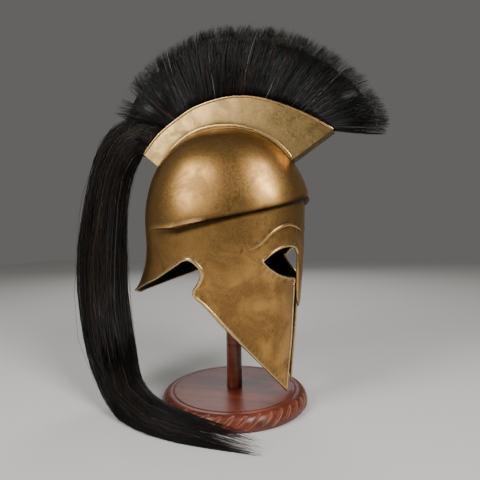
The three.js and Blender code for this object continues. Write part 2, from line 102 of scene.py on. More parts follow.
# Edge lines on the skin: azimuth in degrees, height, and the rim's width against its usual width.
NECK_EDGE = {
    "at": [180, 160, 141, 124, 114, 106, 101, 97, 93, 90.2, 89.3, 89.6, 91.2, 93.6, 94.2],
    "z": [156, 163, 174, 185, 195.5, 204.5, 210.5, 212, 208, 201.5, 195, 188.5, 179.5, 171.5, 166],
    "width": [1, 1, 1, 1, 1.05, 1.15, 1.3, 1.5, 1.75, 1.9, 1.95, 1.9, 1.75, 1.6, 1.5],
}
CHEEK_EDGE = {
    "at": [94.2, 85.5, 76.8, 60.5, 36.8, 15], "z": [166, 145, 125, 94, 56.5, 29],
    "width": [1, 1.25, 1.25, 1.1, 0.8, 0.6],
}
CHEEK_FRONT = {
    "at": [15, 12.5, 10, 8.7, 9.2, 10], "z": [29, 44, 67, 105, 144, 175],
    "width": [0.8, 1, 1.2, 1.3, 1.3, 1.3],
}
EYE_BOTTOM = {
    "at": [10, 11, 22.8, 31.3, 37.2, 45, 49.8], "z": [175, 181.5, 185, 188.5, 192.5, 200.5, 208.5],
    "width": [0.8, 0.9, 0.95, 1, 1, 1, 0.95],
}
EYE_TOP = {
    "at": [49.8, 42, 35, 28.8, 21.2, 14.3, 10], "z": [208.5, 219, 224.8, 227.2, 227.2, 223, 215],
    "width": [0.95, 1, 1.15, 1.3, 1.4, 1.3, 1],
}
NASAL_EDGE = {
    "at": [10, 7.3, 6.3, 5.6, 4.8, 2.8, 0], "z": [215, 203, 188, 165, 151, 144, 141.5],
}
BROW_RIDGE = {
    "at": [63.5, 56.8, 49.8, 42.8, 34, 26.5, 16.8, 6],
    "z": [222, 225.5, 234, 245, 252.5, 254.5, 251.5, 246],
    "width": [0.7, 1, 1.1, 1.1, 1.1, 1.1, 1, 0.7],
}

# The crest ----------------------------------------------------------------------------------------

CREST_TOP = {
    "y": [-147, -103, -49, -3, 46, 81, 110, 134.5], "z": [379, 407, 430.5, 437, 429, 412, 392.5, 366.5],
}
CREST_FOOT = (-91.0, 106.0)        # Y of the foot's front and rear ends
CREST_LIFT = 0.9                   # the plates' foot above the dome
LIP = {"out": 0.4, "above": 4.6, "wide": 2.4, "high": 5.0}    # the strip along the plates' foot

# Where the fan's hair ends, for hair rooted at each share of the way along the crest box.
FAN = {
    "share": [0, 0.035, 0.07, 0.12, 0.18, 0.26, 0.36, 0.46, 0.56, 0.66, 0.76, 0.85, 0.92, 0.96, 1],
    "y": [-214, -219, -208, -190, -164, -132, -91, -50, -10, 36, 82, 117, 149, 171, 188],
    "z": [374, 391, 417, 446, 473, 499, 522, 534, 543, 544, 530, 515, 494, 467, 437],
}
FAN_ROOTS = (0.035, 0.76)          # the stretch of the crest box that holds the fan
FAN_THICKNESS = {"out": [0, 0.12, 0.32, 0.62, 0.86, 1], "half": [10, 11.5, 16.5, 19.5, 16, 9]}

# Middle line of the tail, with the half width and half thickness of the hair.
TAIL = {
    "x": [0, 0, 0, -1, -4, -9, -17, -28, -43, -66, -94, -116, -127, -132, -135, -137],
    "y": [113, 140, 168, 193, 205, 211, 211, 202, 182, 152, 116, 75, 36, -4, -42, -80],
    "z": [381, 402.5, 391, 361, 318, 266, 206, 146, 90, 46, 24, 15, 11.5, 9, 7, 5],
    "wide": [11, 18, 33, 35, 35, 38, 42, 41, 41, 37, 32, 29, 26, 22, 19, 15],
    "thick": [9.5, 11.6, 18, 20, 22, 23, 24, 24, 23, 21, 17, 13, 10, 7.5, 5, 3],
}


# How the hair is laid. Spreads are standard deviations, and a lock is hair that keeps together.
FAN_HAIR = {"points": 7, "locks": 64, "lean": 0.011, "uneven": 0.014, "root_spread": 0.65,
            "tip_spread": 0.5, "strays": 0.03, "stray_spread": 0.03, "full_length": 0.7, "reach": 0.955,
            "reach_spread": 0.025, "shortest": 0.5, "longest": 0.96, "most": 1.02, "sag": 5.0}
FAN_NOTCH = {"share": 0.55, "width": 0.012, "depth": 0.05}    # the small parting near the top
TAIL_HAIR = {"points": 13, "locks": 46, "root": 0.035, "turn_spread": 0.30, "depth_spread": 0.14,
             "gather": 0.30, "sway": 0.07, "wander": 0.025, "loose": 0.12, "loose_reach": 0.28}
BRIDGE_HAIR = {"points": 9, "locks": 26, "roots": (0.74, 0.995), "root_half": 8, "ends": (0.25, 0.11),
               "lift": (64, 10), "back": (60, 34), "rearmost": 186, "bow": 0.45}
FLOOR_GAP = 0.6                    # lowest middle line of a hair that lies on the floor

# The base's flat top ends at this radius, its rim is widest at this height, and the gouges start this
# many degrees up the rim's round.
FLAT_RADIUS, WAIST, GOUGE_START = 91.0, 4.5, 68.0


def column(table, name):
    """One column of a table, as an array."""
    return np.array(table[name], float)


def read(table, by, name, at):
    """A cubic through a table's rows: each stretch keeps the slopes taken across its neighbours."""
    x, y = column(table, by), column(table, name)
    low, high = np.maximum(np.arange(len(x)) - 1, 0), np.minimum(np.arange(len(x)) + 1, len(x) - 1)
    slope = (y[high] - y[low]) / (x[high] - x[low])
    at = np.clip(at, x[0], x[-1])
    i = np.clip(np.searchsorted(x, at) - 1, 0, len(x) - 2)
    span = x[i + 1] - x[i]
    t = (at - x[i]) / span
    a, b, da, db = y[i], y[i + 1], slope[i] * span, slope[i + 1] * span
    return a + t * (da + t * (3 * (b - a) - 2 * da - db + t * (2 * (a - b) + da + db)))


def ease(value, start, end):
    """Rises smoothly from 0 at the start to 1 at the end, three squares less two cubes."""
    t = np.clip((value - start) / (end - start), 0, 1)
    return t * t * (3 - 2 * t)


def mix(a, b, share):
    """The value that lies `share` of the way from a to b."""
    return a + (b - a) * share


def curve_through(points, at, centripetal=True):
    """Catmull-Rom curve: `at` counts the points, so 2.5 is half way from the third to the fourth.

    Knots lie apart by the root of the distance between points, or evenly; past each end the curve
    sees the end's neighbour mirrored, or the end again.
    """
    points = np.asarray(points, float)
    before = 2 * points[0] - points[1] if centripetal else points[0]
    after = 2 * points[-1] - points[-2] if centripetal else points[-1]
    ring = np.vstack([before, points, after])
    gap = np.linalg.norm(np.diff(ring, axis=0), axis=1)[:, None]
    gap = np.sqrt(gap) if centripetal else np.ones_like(gap)
    i = np.clip(np.floor(at).astype(int), 0, len(points) - 2)
    t = (np.asarray(at) - i)[..., None]
    a, b, c, d = ring[i], ring[i + 1], ring[i + 2], ring[i + 3]
    g0, g1, g2 = gap[i], gap[i + 1], gap[i + 2]
    start = ((b - a) / g0 - (c - a) / (g0 + g1) + (c - b) / g1) * g1
    end = ((c - b) / g1 - (d - b) / (g1 + g2) + (d - c) / g2) * g1
    return b + t * (start + t * (3 * (c - b) - 2 * start - end + t * (2 * (b - c) + start + end)))


def even_steps(points, count):
    """The same line with its points evenly apart."""
    length = np.concatenate([[0], np.cumsum(np.linalg.norm(np.diff(points, axis=0), axis=1))])
    at = np.linspace(0, length[-1], count)
    return np.stack([np.interp(at, length, points[:, k]) for k in range(points.shape[1])], axis=1)


def edge_line(table, count):
    """Azimuths in radians and heights, evenly spaced along the smooth line through a table."""
    rows = np.stack([column(table, "at") * MM_PER_DEGREE, column(table, "z")], axis=1)
    fine = curve_through(rows, np.linspace(0, len(rows) - 1, 40 * len(rows)))
    line = even_steps(fine, count)
    return np.radians(line[:, 0] / MM_PER_DEGREE), line[:, 1]


def rim_widths(table, count):
    """The width column at the same evenly spaced places, straight between the rows."""
    rows = np.stack([column(table, "at") * MM_PER_DEGREE, column(table, "z")], axis=1)
    run = np.concatenate([[0], np.cumsum(np.linalg.norm(np.diff(rows, axis=0), axis=1))])
    return np.interp(np.linspace(0, run[-1], count), run, column(table, "width"))


def oval(azimuth, side, front, back, centre):
    """Superellipse with its own reach forward and back: powers of the sine and cosine."""
    s, c = np.sin(azimuth), np.cos(azimuth)
    power = 2 / np.where(c > 0, FRONT_ROUND, BACK_ROUND)
    reach = np.where(c > 0, front, back)
    return side * np.sign(s) * np.abs(s) ** power, centre - reach * np.sign(c) * np.abs(c) ** power


def ledge_height(azimuth):
    """The brow ledge: highest at the nose, falling to the sides."""
    share = 1 - np.minimum(np.degrees(np.abs(azimuth)) / LEDGE["reach"], 1)
    return LEDGE["side"] + LEDGE["rise"] * share ** LEDGE["power"]


def skin(azimuth, z):
    """Outer skin: the dome's ovals above the ledge, the face's below it, eased over the ledge."""
    azimuth, z = np.broadcast_arrays(np.asarray(azimuth, float), np.asarray(z, float))
    face_x, face_y = oval(azimuth, read(SECTIONS, "z", "side", z), read(SECTIONS, "z", "front", z),
                          read(SECTIONS, "z", "back", z), AXIS_Y)
    nasal = (1 - ease(np.abs(face_x), *NASAL_FLANK)) * read(NASAL, "z", "out", z)
    face_y = face_y - np.where(np.cos(azimuth) > 0, nasal, 0)
    up = np.clip((z - DOME["springing"]) / (DOME["top"] - DOME["springing"]), 0, 1)
    shrink = (1 - up ** DOME["power"]) ** (1 / DOME["power"])
    dome_x, dome_y = oval(azimuth, DOME["side"] * shrink, DOME["front"] * shrink,
                          DOME["back"] * shrink, AXIS_Y + DOME["shift"])
    above = z - ledge_height(azimuth)
    step = np.clip(1 + above / LEDGE["drop"], 0, 1)
    crisp = 0.22 * ease(step, 0, 0.85) + 0.78 * ease(step, 0.74, 1.0)
    soft = ease(above, -35, 10)
    fade = ease(np.degrees(np.abs(azimuth)), LEDGE["fade_from"], LEDGE["fade_to"])
    share = mix(crisp, soft, fade)
    return np.stack([mix(face_x, dome_x, share), mix(face_y, dome_y, share), z], axis=-1)


def unit(vectors):
    """Each vector over its own length."""
    return vectors / np.maximum(np.linalg.norm(vectors, axis=-1, keepdims=True), 1e-12)


def skin_normal(azimuth, z):
    """Outward normal: the cross product of small steps round and up the skin."""
    turn, rise = 0.01, 0.4
    high = np.minimum(z + rise, DOME["top"] - 0.01)
    low = np.minimum(z - rise, high - rise)
    across = skin(azimuth + turn, z) - skin(azimuth - turn, z)
    return unit(np.cross(across, skin(azimuth, high) - skin(azimuth, low)))


def dome_height(x, y):
    """Height of the dome above a point of the plan, the skin's formula solved for its height."""
    forward = y < AXIS_Y + DOME["shift"]
    reach = np.where(forward, DOME["front"], DOME["back"])
    power = np.where(forward, FRONT_ROUND, BACK_ROUND)
    across = np.abs(x / DOME["side"]) ** power + np.abs((y - AXIS_Y - DOME["shift"]) / reach) ** power
    shrink = np.minimum(across ** (1 / power), 1)
    up = (1 - shrink ** DOME["power"]) ** (1 / DOME["power"])
    return DOME["springing"] + (DOME["top"] - DOME["springing"]) * up


# Meshes -------------------------------------------------------------------------------------------

def sheet_faces(rows, columns, wrap_rows=False, wrap_columns=False):
    """Four-sided faces of a grid of rows by columns of vertices."""
    r = np.arange(rows if wrap_rows else rows - 1)[:, None]
    c = np.arange(columns if wrap_columns else columns - 1)[None, :]
    r_next, c_next = (r + 1) % rows, (c + 1) % columns
    return np.stack([r * columns + c, r * columns + c_next, r_next * columns + c_next,
                     r_next * columns + c], axis=-1).reshape(-1, 4)


def fan_faces(ring, centre):
    """Triangles from a closed ring of vertex numbers to one centre."""
    return np.stack([ring, np.roll(ring, -1), np.full(len(ring), centre)], axis=1)


def mesh_of(name, points, quads=(), triangles=(), outward=True):
    """A mesh in metres from points in millimetres; faces are turned outward on a closed shape."""
    mesh = bpy.data.meshes.new(name)
    faces = [np.asarray(quads, int).reshape(-1, 4), np.asarray(triangles, int).reshape(-1, 3)]
    if outward and enclosed_volume(points, faces) < 0:
        faces = [f[:, ::-1] for f in faces]
    corners = np.concatenate([f.ravel() for f in faces])
    sizes = np.concatenate([np.full(len(f), f.shape[1]) for f in faces])
    mesh.vertices.add(len(points))
    mesh.vertices.foreach_set("co", (np.asarray(points, float) * MM).ravel())
    mesh.loops.add(len(corners))
    mesh.loops.foreach_set("vertex_index", corners)
    mesh.polygons.add(len(sizes))
    mesh.polygons.foreach_set("loop_start", np.concatenate([[0], np.cumsum(sizes)[:-1]]).astype(int))
    mesh.polygons.foreach_set("use_smooth", np.ones(len(sizes), bool))
    mesh.update(calc_edges=True)
    mesh.validate()
    return mesh


def enclosed_volume(points, faces):
    """Six times the volume inside the faces: the sum of the corners' triple products."""
    points = np.asarray(points, float) - np.mean(points, axis=0)
    total = 0.0
    for group in faces:
        for k in range(1, group.shape[1] - 1) if len(group) else ():
            a, b, c = points[group[:, 0]], points[group[:, k]], points[group[:, k + 1]]
            total += np.einsum("ij,ij->", a, np.cross(b, c))
    return total


def tubes(rings):
    """Closed tubes from an array of tubes by rings by sides by 3: quads along, a fan on each end."""
    count, along, sides = rings.shape[:3]
    points = rings.reshape(-1, 3)
    ends = rings[:, [0, -1]].mean(axis=2).reshape(-1, 3)
    first = np.arange(count)[:, None, None] * along * sides
    quads = (sheet_faces(along, sides, wrap_columns=True)[None] + first).reshape(-1, 4)
    side = np.arange(sides)
    start = (first[:, 0] + side)
    stop = start + (along - 1) * sides
    middle = len(points) + 2 * np.arange(count)[:, None] + np.zeros(sides, int)
    caps = [np.stack([np.roll(start, -1, 1), start, middle], -1),
            np.stack([stop, np.roll(stop, -1, 1), middle + 1], -1)]
    triangles = np.concatenate([c.reshape(-1, 3) for c in caps])
    return np.vstack([points, ends]), quads, triangles


def join(parts):
    """One set of points, quads and triangles from several."""
    points, quads, triangles, first = [], [], [], 0
    for p, q, t in parts:
        points.append(p)
        quads.append(np.asarray(q, int).reshape(-1, 4) + first)
        triangles.append(np.asarray(t, int).reshape(-1, 3) + first)
        first += len(p)
    return np.vstack(points), np.vstack(quads), np.vstack(triangles)


def set_attribute(mesh, name, values):
    """Gives each vertex a number that the material reads by name."""
    attribute = mesh.attributes.new(name, "FLOAT", "POINT")
    attribute.data.foreach_set("value", np.asarray(values, np.float32))


def add_piece(name, mesh, material, replaces, sharp=None):
    """Links a mesh as a piece of the object that rides on the frame's one body."""
    mesh.materials.clear()
    mesh.materials.append(material)
    if sharp is not None:
        mesh.set_sharp_from_angle(angle=math.radians(sharp))
    piece = bpy.data.objects.new(name, mesh)
    bpy.context.scene.collection.objects.link(piece)
    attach(piece, "root")
    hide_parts(replaces)
    return piece


def cut_away(mesh, cutters):
    """The mesh less each cutter, by Boolean modifiers that are applied at once."""
    body = bpy.data.objects.new("cutting_blank", mesh)
    bpy.context.scene.collection.objects.link(body)
    tools = []
    for cutter in cutters:
        tool = bpy.data.objects.new("cutter", cutter)
        bpy.context.scene.collection.objects.link(tool)
        modifier = body.modifiers.new("cut", "BOOLEAN")
        modifier.operation, modifier.solver, modifier.object = "DIFFERENCE", "MANIFOLD", tool
        tools.append(tool)
    evaluated = body.evaluated_get(bpy.context.evaluated_depsgraph_get())
    result = bpy.data.meshes.new_from_object(evaluated)
    for thing in [body, *tools]:
        bpy.data.objects.remove(thing)
    if not result.polygons:
        raise RuntimeError("the openings could not be cut")
    return result


def prism(outline, start, end, axis):
    """A closed outline in the two other axes, drawn along `axis` from start to end."""
    count = len(outline)
    points = np.vstack([np.insert(outline, axis, depth, axis=1) for depth in (start, end)])
    sides = sheet_faces(2, count, wrap_columns=True)
    caps = [list(range(count))[::-1], list(range(count, 2 * count))]
    mesh = bpy.data.meshes.new("prism")
    mesh.from_pydata((points * MM).tolist(), [], sides.tolist() + caps)
    fan = np.array([[0, k + 1, k] for k in range(1, count - 1)])
    if enclosed_volume(points, [sides, np.vstack([fan, fan[:, ::-1] + count])]) < 0:
        mesh.flip_normals()
    mesh.update()
    return mesh


# Materials ----------------------------------------------------------------------------------------

def linear(colour):
    """Linear red, green and blue from an sRGB hex colour."""
    parts = [int(colour[i:i + 2], 16) / 255 for i in (1, 3, 5)]
    return tuple(p / 12.92 if p <= 0.04045 else ((p + 0.055) / 1.055) ** 2.4 for p in parts)


def grey(value):
    return (value, value, value)


def dim(colour, share):
    """A colour at a share of its brightness."""
    return tuple(share * part for part in colour)


def add_node(tree, kind, inputs=None, stops=(), **settings):
    """Adds a node. `inputs` give its sockets a value or another node's output, `stops` are a colour
    ramp's places and colours, and `settings` are the node's own properties."""
    node = tree.nodes.new("ShaderNode" + kind)
    for name, value in settings.items():
        setattr(node, name, value)
    for socket, value in (inputs or {}).items():
        if isinstance(value, bpy.types.NodeSocket):
            tree.links.new(value, node.inputs[socket])
        elif node.inputs[socket].type == "RGBA":
            node.inputs[socket].default_value = (*value, 1)
        else:
            node.inputs[socket].default_value = value
    while stops and len(node.color_ramp.elements) < len(stops):
        node.color_ramp.elements.new(0.5)
    for element, (place, colour) in zip(node.color_ramp.elements if stops else (), stops):
        element.position = place
        element.color = (*colour, 1)
    return node


def new_material(name):
    """An empty material with its shader, and Object coordinates in metres for its patterns."""
    material = bpy.data.materials.new(name)
    material.use_nodes = True
    tree = material.node_tree
    tree.nodes.clear()
    output = add_node(tree, "OutputMaterial")
    shader = add_node(tree, "BsdfPrincipled")
    tree.links.new(shader.outputs[0], output.inputs[0])
    return material, tree, shader, add_node(tree, "TexCoord").outputs["Object"]


def brass_material(name, metal, wear_and_highlight, patina, tarnish, cloud_size):
    """Hand-beaten brass sheet, lacquered and half polished.

    Tarnish clouds break up the warm metal. Grime darkens the corners beside the rims, and painted
    shade darkens the sheet beside the brow ridges, under the ledge and in and at the ends of the crest
    box, while the inner face is painted nearly black as shade. Handling has polished the rims bright,
    and painted highlights brighten the rims, the crest box's wires and the ledge's top edge. Fine
    hairline scratches and pin specks catch the light, and shallow planishing dents make the
    reflections wander.
    """
    material, tree, shader, place = new_material(name)
    cloud = add_node(tree, "TexNoise", {"Vector": place, "Scale": 1 / cloud_size, "Detail": 6.0,
                                        "Roughness": 0.62, "Distortion": 0.6})
    cloud = add_node(tree, "ValToRGB", {"Fac": cloud.outputs[0]},
                     stops=[(0.40, grey(0)), (0.60, grey(1))]).outputs[0]
    # Mottling about 2 mm across, and specks about 5 mm apart.
    mottle = add_node(tree, "TexNoise", {"Vector": place, "Scale": 420.0, "Detail": 5.0, "Roughness": 0.7})
    mottle = add_node(tree, "ValToRGB", {"Fac": mottle.outputs[0]},
                      stops=[(0.35, grey(0)), (0.7, grey(1))]).outputs[0]
    speck = add_node(tree, "TexVoronoi", {"Vector": place, "Scale": 210.0, "Randomness": 1.0})
    speck = add_node(tree, "ValToRGB", {"Fac": speck.outputs[0]},
                     stops=[(0.04, grey(1)), (0.11, grey(0))]).outputs[0]
    # Three marks: rim wear with painted highlight, grime with painted shade, and the inner faces.
    edge, grime_and_shade, inside = [add_node(tree, "Attribute", attribute_name=mark).outputs["Fac"]
                           for mark in ("wear_and_highlight", "grime_and_shade", "inside")]

    share = add_node(tree, "Math", {0: cloud, 1: tarnish}, operation="MULTIPLY").outputs[0]
    colour = add_node(tree, "Mix", {0: share, 6: metal, 7: patina}, data_type="RGBA").outputs[2]
    share = add_node(tree, "Math", {0: mottle, 1: 0.22}, operation="MULTIPLY").outputs[0]
    colour = add_node(tree, "Mix", {0: share, 6: colour, 7: wear_and_highlight}, data_type="RGBA").outputs[2]
    # Grime beside the rims, and painted shade under the ledge, beside the brows and on the crest box,
    # darken the metal.
    share = add_node(tree, "Math", {0: grime_and_shade, 1: 0.92}, operation="MULTIPLY").outputs[0]
    colour = add_node(tree, "Mix", {0: share, 6: colour, 7: dim(patina, 0.10)},
                      data_type="RGBA").outputs[2]
    # Wear on the rims, and painted highlights on the rims, wires and ledge's edge, brighten the metal.
    rubbed_and_lit = add_node(tree, "Math", {0: 0.45, 1: mottle}, operation="ADD").outputs[0]
    rubbed_and_lit = add_node(tree, "Math", {0: edge, 1: rubbed_and_lit}, operation="MULTIPLY",
                      use_clamp=True).outputs[0]
    colour = add_node(tree, "Mix", {0: rubbed_and_lit, 6: colour, 7: wear_and_highlight}, data_type="RGBA").outputs[2]
    share = add_node(tree, "Math", {0: speck, 1: 0.45}, operation="MULTIPLY").outputs[0]
    colour = add_node(tree, "Mix", {0: share, 6: colour, 7: dim(patina, 0.4)}, data_type="RGBA").outputs[2]
    # Painted shade: the inner faces are painted nearly black, far darker than the patina.
    colour = add_node(tree, "Mix", {0: inside, 6: colour, 7: dim(patina, 0.05)},
                      data_type="RGBA").outputs[2]
    tree.links.new(colour, shader.inputs["Base Color"])

    rough = 0.27
    for mark, amount in ((cloud, 0.13), (mottle, 0.09), (grime_and_shade, 0.18), (rubbed_and_lit, -0.10), (inside, 0.2)):
        rough = add_node(tree, "Math", {0: mark, 1: amount, 2: rough}, operation="MULTIPLY_ADD").outputs[0]
    tree.links.new(rough, shader.inputs["Roughness"])
    shader.inputs["Metallic"].default_value = 1.0

    # Dents about 26 mm apart from the hammer, and scratches about a millimetre apart.
    dents = add_node(tree, "TexNoise", {"Vector": place, "Scale": 38.0, "Detail": 1.5, "Roughness": 0.4})
    drawn = add_node(tree, "Mapping", {"Vector": place, "Scale": (1, 0.16, 1.3),
                                       "Rotation": (0.5, 0.25, 0.9)})
    scratch = add_node(tree, "TexNoise", {"Vector": drawn.outputs[0], "Scale": 900.0, "Detail": 3.0,
                                          "Roughness": 0.55})
    bump = add_node(tree, "Bump", {"Height": dents.outputs[0], "Strength": 0.30, "Distance": 0.0011})
    bump = add_node(tree, "Bump", {"Height": scratch.outputs[0], "Normal": bump.outputs[0],
                                   "Strength": 0.10, "Distance": 0.0002})
    tree.links.new(bump.outputs[0], shader.inputs["Normal"])
    return material


def hair_material(name, dark, brown, pale):
    """Dyed horsehair: nearly black, with undyed brown and grey hairs that catch the light."""
    material, tree, shader = new_material(name)[:3]
    tone = add_node(tree, "Attribute", attribute_name="tone").outputs["Fac"]
    colour = add_node(tree, "ValToRGB", {"Fac": tone},
                      stops=[(0.0, dim(dark, 0.5)), (0.55, dark), (0.86, brown), (0.98, pale)])
    tree.links.new(colour.outputs[0], shader.inputs["Base Color"])
    rough = add_node(tree, "Math", {0: tone, 1: -0.1, 2: 0.42}, operation="MULTIPLY_ADD").outputs[0]
    tree.links.new(rough, shader.inputs["Roughness"])
    shader.inputs["IOR"].default_value = 1.55
    shader.inputs["Specular IOR Level"].default_value = 0.3
    return material


def wood_material(name, stain, deep, bare_wood_and_highlight):
    """Turned hardwood under a reddish stain and a thin wax: long pores, darker growth bands and
    paler wood along each gouge's edges, partly wood bared where the gouge cut through the stain's
    surface and partly a painted highlight."""
    material, tree, shader, place = new_material(name)
    # Pores about 2 mm apart and eleven times as long, growth bands about 24 mm apart.
    grain = add_node(tree, "Mapping", {"Vector": place, "Scale": (1, 0.09, 1)})
    pores = add_node(tree, "TexNoise", {"Vector": grain.outputs[0], "Scale": 520.0, "Detail": 5.0,
                                        "Roughness": 0.6})
    pores = add_node(tree, "ValToRGB", {"Fac": pores.outputs[0]},
                     stops=[(0.38, grey(0)), (0.62, grey(1))]).outputs[0]
    rings = add_node(tree, "Mapping", {"Vector": place, "Scale": (1, 0.16, 1.8),
                                       "Rotation": (0, 0.35, 0.12)})
    band = add_node(tree, "TexNoise", {"Vector": rings.outputs[0], "Scale": 42.0, "Detail": 3.0,
                                       "Roughness": 0.5, "Distortion": 1.2})
    band = add_node(tree, "ValToRGB", {"Fac": band.outputs[0]},
                    stops=[(0.32, grey(0)), (0.66, grey(1))]).outputs[0]
    blotch = add_node(tree, "TexNoise", {"Vector": place, "Scale": 16.0, "Detail": 4.0}).outputs[0]
    carved = add_node(tree, "Attribute", attribute_name="carved").outputs["Fac"]

    colour = add_node(tree, "Mix", {0: band, 6: deep, 7: stain}, data_type="RGBA").outputs[2]
    share = add_node(tree, "Math", {0: blotch, 1: 0.55}, operation="MULTIPLY").outputs[0]
    colour = add_node(tree, "Mix", {0: share, 6: colour, 7: deep}, data_type="RGBA").outputs[2]
    share = add_node(tree, "Math", {0: pores, 1: -0.45, 2: 0.45}, operation="MULTIPLY_ADD").outputs[0]
    colour = add_node(tree, "Mix", {0: share, 6: colour, 7: dim(deep, 0.35)}, data_type="RGBA").outputs[2]
    # Paler wood along the gouges' edges: partly cut wood, partly a painted highlight.
    share = add_node(tree, "Math", {0: carved, 1: 0.7}, operation="MULTIPLY").outputs[0]
    colour = add_node(tree, "Mix", {0: share, 6: colour, 7: bare_wood_and_highlight}, data_type="RGBA").outputs[2]
    tree.links.new(colour, shader.inputs["Base Color"])

    rough = add_node(tree, "Math", {0: blotch, 1: 0.18, 2: 0.26}, operation="MULTIPLY_ADD").outputs[0]
    tree.links.new(rough, shader.inputs["Roughness"])
    shader.inputs["IOR"].default_value = 1.5
    shader.inputs["Coat Weight"].default_value = 0.25
    shader.inputs["Coat Roughness"].default_value = 0.25
    bump = add_node(tree, "Bump", {"Height": pores, "Strength": 0.22, "Distance": 0.0004})
    tree.links.new(bump.outputs[0], shader.inputs["Normal"])
    return material


def paper_material(name, colour):
    """Seamless studio paper: matt, with the faint tooth of its surface, about 4 mm across."""
    material, tree, shader, place = new_material(name)
    tooth = add_node(tree, "TexNoise", {"Vector": place, "Scale": 260.0, "Detail": 3.0}).outputs[0]
    share = add_node(tree, "Math", {0: tooth, 1: 0.06}, operation="MULTIPLY").outputs[0]
    shade = add_node(tree, "Mix", {0: share, 6: colour, 7: dim(colour, 0.9)}, data_type="RGBA")
    tree.links.new(shade.outputs[2], shader.inputs["Base Color"])
    shader.inputs["Roughness"].default_value = 0.9
    return material


# Sizes and colours a user would change ------------------------------------------------------------

def length(name, value, description):
    return FloatProperty(name=name, description=description, default=value * MM, unit="LENGTH")


def colour_of(name, value, description):
    return FloatVectorProperty(name=name, description=description, default=linear(value), size=3,
                               subtype="COLOR", min=0, max=1)


class HelmetSettings(bpy.types.PropertyGroup):
    sheet: length("Sheet", 1.6, "Thickness of the helmet's brass")
    rolled_rim: length("Rolled rim", 2.1, "Half width of the rolled rim on the cheek's long edge")
    thin_rim: length("Thin rim", 1.4, "Half width of the rim on the neck guard and the mouth slit")
    eye_rim: length("Eye rim", 1.7, "Half width of the raised rim round the eye")
    brow: length("Brow", 2.0, "Half width of the brow ridge")
    brass: colour_of("Brass", "#b98a4a", "Warm metal of the helmet")
    patina: colour_of("Patina", "#6b4822", "Tarnish clouds on the helmet")
    # This colour of polished brass also paints highlights on the rims, the crest box's wires and the
    # ledge's edge.
    wear_and_highlight: colour_of("Worn brass", "#e2c088", "Rubbed rims and high spots")


class CrestSettings(bpy.types.PropertyGroup):
    wall: length("Wall", 1.2, "Thickness of the crest box's brass")
    half_width: length("Half width", 13.5, "Half width of the crest box")
    bead: length("Bead", 3.4, "Width of the wire along the top edges")
    brass: colour_of("Crest brass", "#a48653", "Cleaner, paler metal of the crest box")
    patina: colour_of("Crest patina", "#655030", "Tarnish clouds on the crest box")


class HairSettings(bpy.types.PropertyGroup):
    fan_hairs: IntProperty(name="Fan hairs", description="Locks of hair in the fan", default=7800, min=1)
    tail_hairs: IntProperty(name="Tail hairs", description="Locks of hair in the tail", default=4200, min=1)
    bridge_hairs: IntProperty(name="Bridge hairs", default=1200, min=1,
                              description="Locks that fall from the fan's rear into the tail")
    thickness: length("Thickness", 0.72, "Width of a lock of a few hairs")
    dark: colour_of("Dyed hair", "#0f0c0a", "Most of the hair")
    brown: colour_of("Brown hair", "#4a3424", "Hairs that took little dye")
    pale: colour_of("Grey hair", "#8f857a", "The few undyed hairs")


class StandSettings(bpy.types.PropertyGroup):
    gouges: IntProperty(name="Gouges", description="Crescent cuts round the rim", default=38, min=3)
    gouge_depth: length("Gouge depth", 2.8, "How deep the crescents are cut")
    groove: length("Groove", 0.9, "Depth of the groove round the flat top")
    stain: colour_of("Stain", "#98432a", "Reddish stain on the wood")
    deep: colour_of("Deep stain", "#542011", "Stain in the pores and growth bands")
    # The cut-wood colour also paints highlights along the gouges' edges.
    bare_wood_and_highlight: colour_of("Cut wood", "#c98762", "Wood that a gouge laid bare")


class StageSettings(bpy.types.PropertyGroup):
    paper: colour_of("Paper", "#e9e7e3", "Floor and background")
    distance: FloatProperty(name="Distance", description="Camera to the stand's axis", default=0.6,
                            unit="LENGTH")
    height: FloatProperty(name="Height", description="Camera above the floor", default=0.243,
                          unit="LENGTH")
    side: FloatProperty(name="Side", description="Turn of the view from the helmet's side to its face",
                        default=math.radians(18.5), subtype="ANGLE")
    key: FloatProperty(name="Key light", description="Watts of the light on the helmet's face side",
                       default=16.0)
    fill: FloatProperty(name="Fill light", description="Watts of the light on the nape side",
                        default=11.0)
    back: FloatProperty(name="Back light", description="Watts of the light on the far side",
                        default=8.0)
    ambient: FloatProperty(name="Ambient", description="Strength of the pale light all round",
                           default=0.16)


def settings(name):
    return getattr(bpy.context.scene, name)


def millimetres(group, *names):
    return [getattr(group, name) / MM for name in names]


def shared_material(name, make):
    """A material made once and then found by its name."""
    return bpy.data.materials.get(name) or make(name)


def helmet_brass():
    s = settings("helmet")
    return shared_material("beaten_lacquered_brass", lambda name: brass_material(
        name, tuple(s.brass), tuple(s.wear_and_highlight), tuple(s.patina), tarnish=0.7, cloud_size=0.045))


def crest_brass():
    s = settings("crest")
    return shared_material("rolled_sheet_brass", lambda name: brass_material(
        name, tuple(s.brass), tuple(settings("helmet").wear_and_highlight), tuple(s.patina), tarnish=0.5,
        cloud_size=0.03))


def horsehair():
    s = settings("hair")
    return shared_material("dyed_horsehair", lambda name: hair_material(
        name, tuple(s.dark), tuple(s.brown), tuple(s.pale)))


def stained_wood():
    s = settings("stand")
    return shared_material("turned_stained_hardwood", lambda name: wood_material(
        name, tuple(s.stain), tuple(s.deep), tuple(s.bare_wood_and_highlight)))


# Helmet -------------------------------------------------------------------------------------------

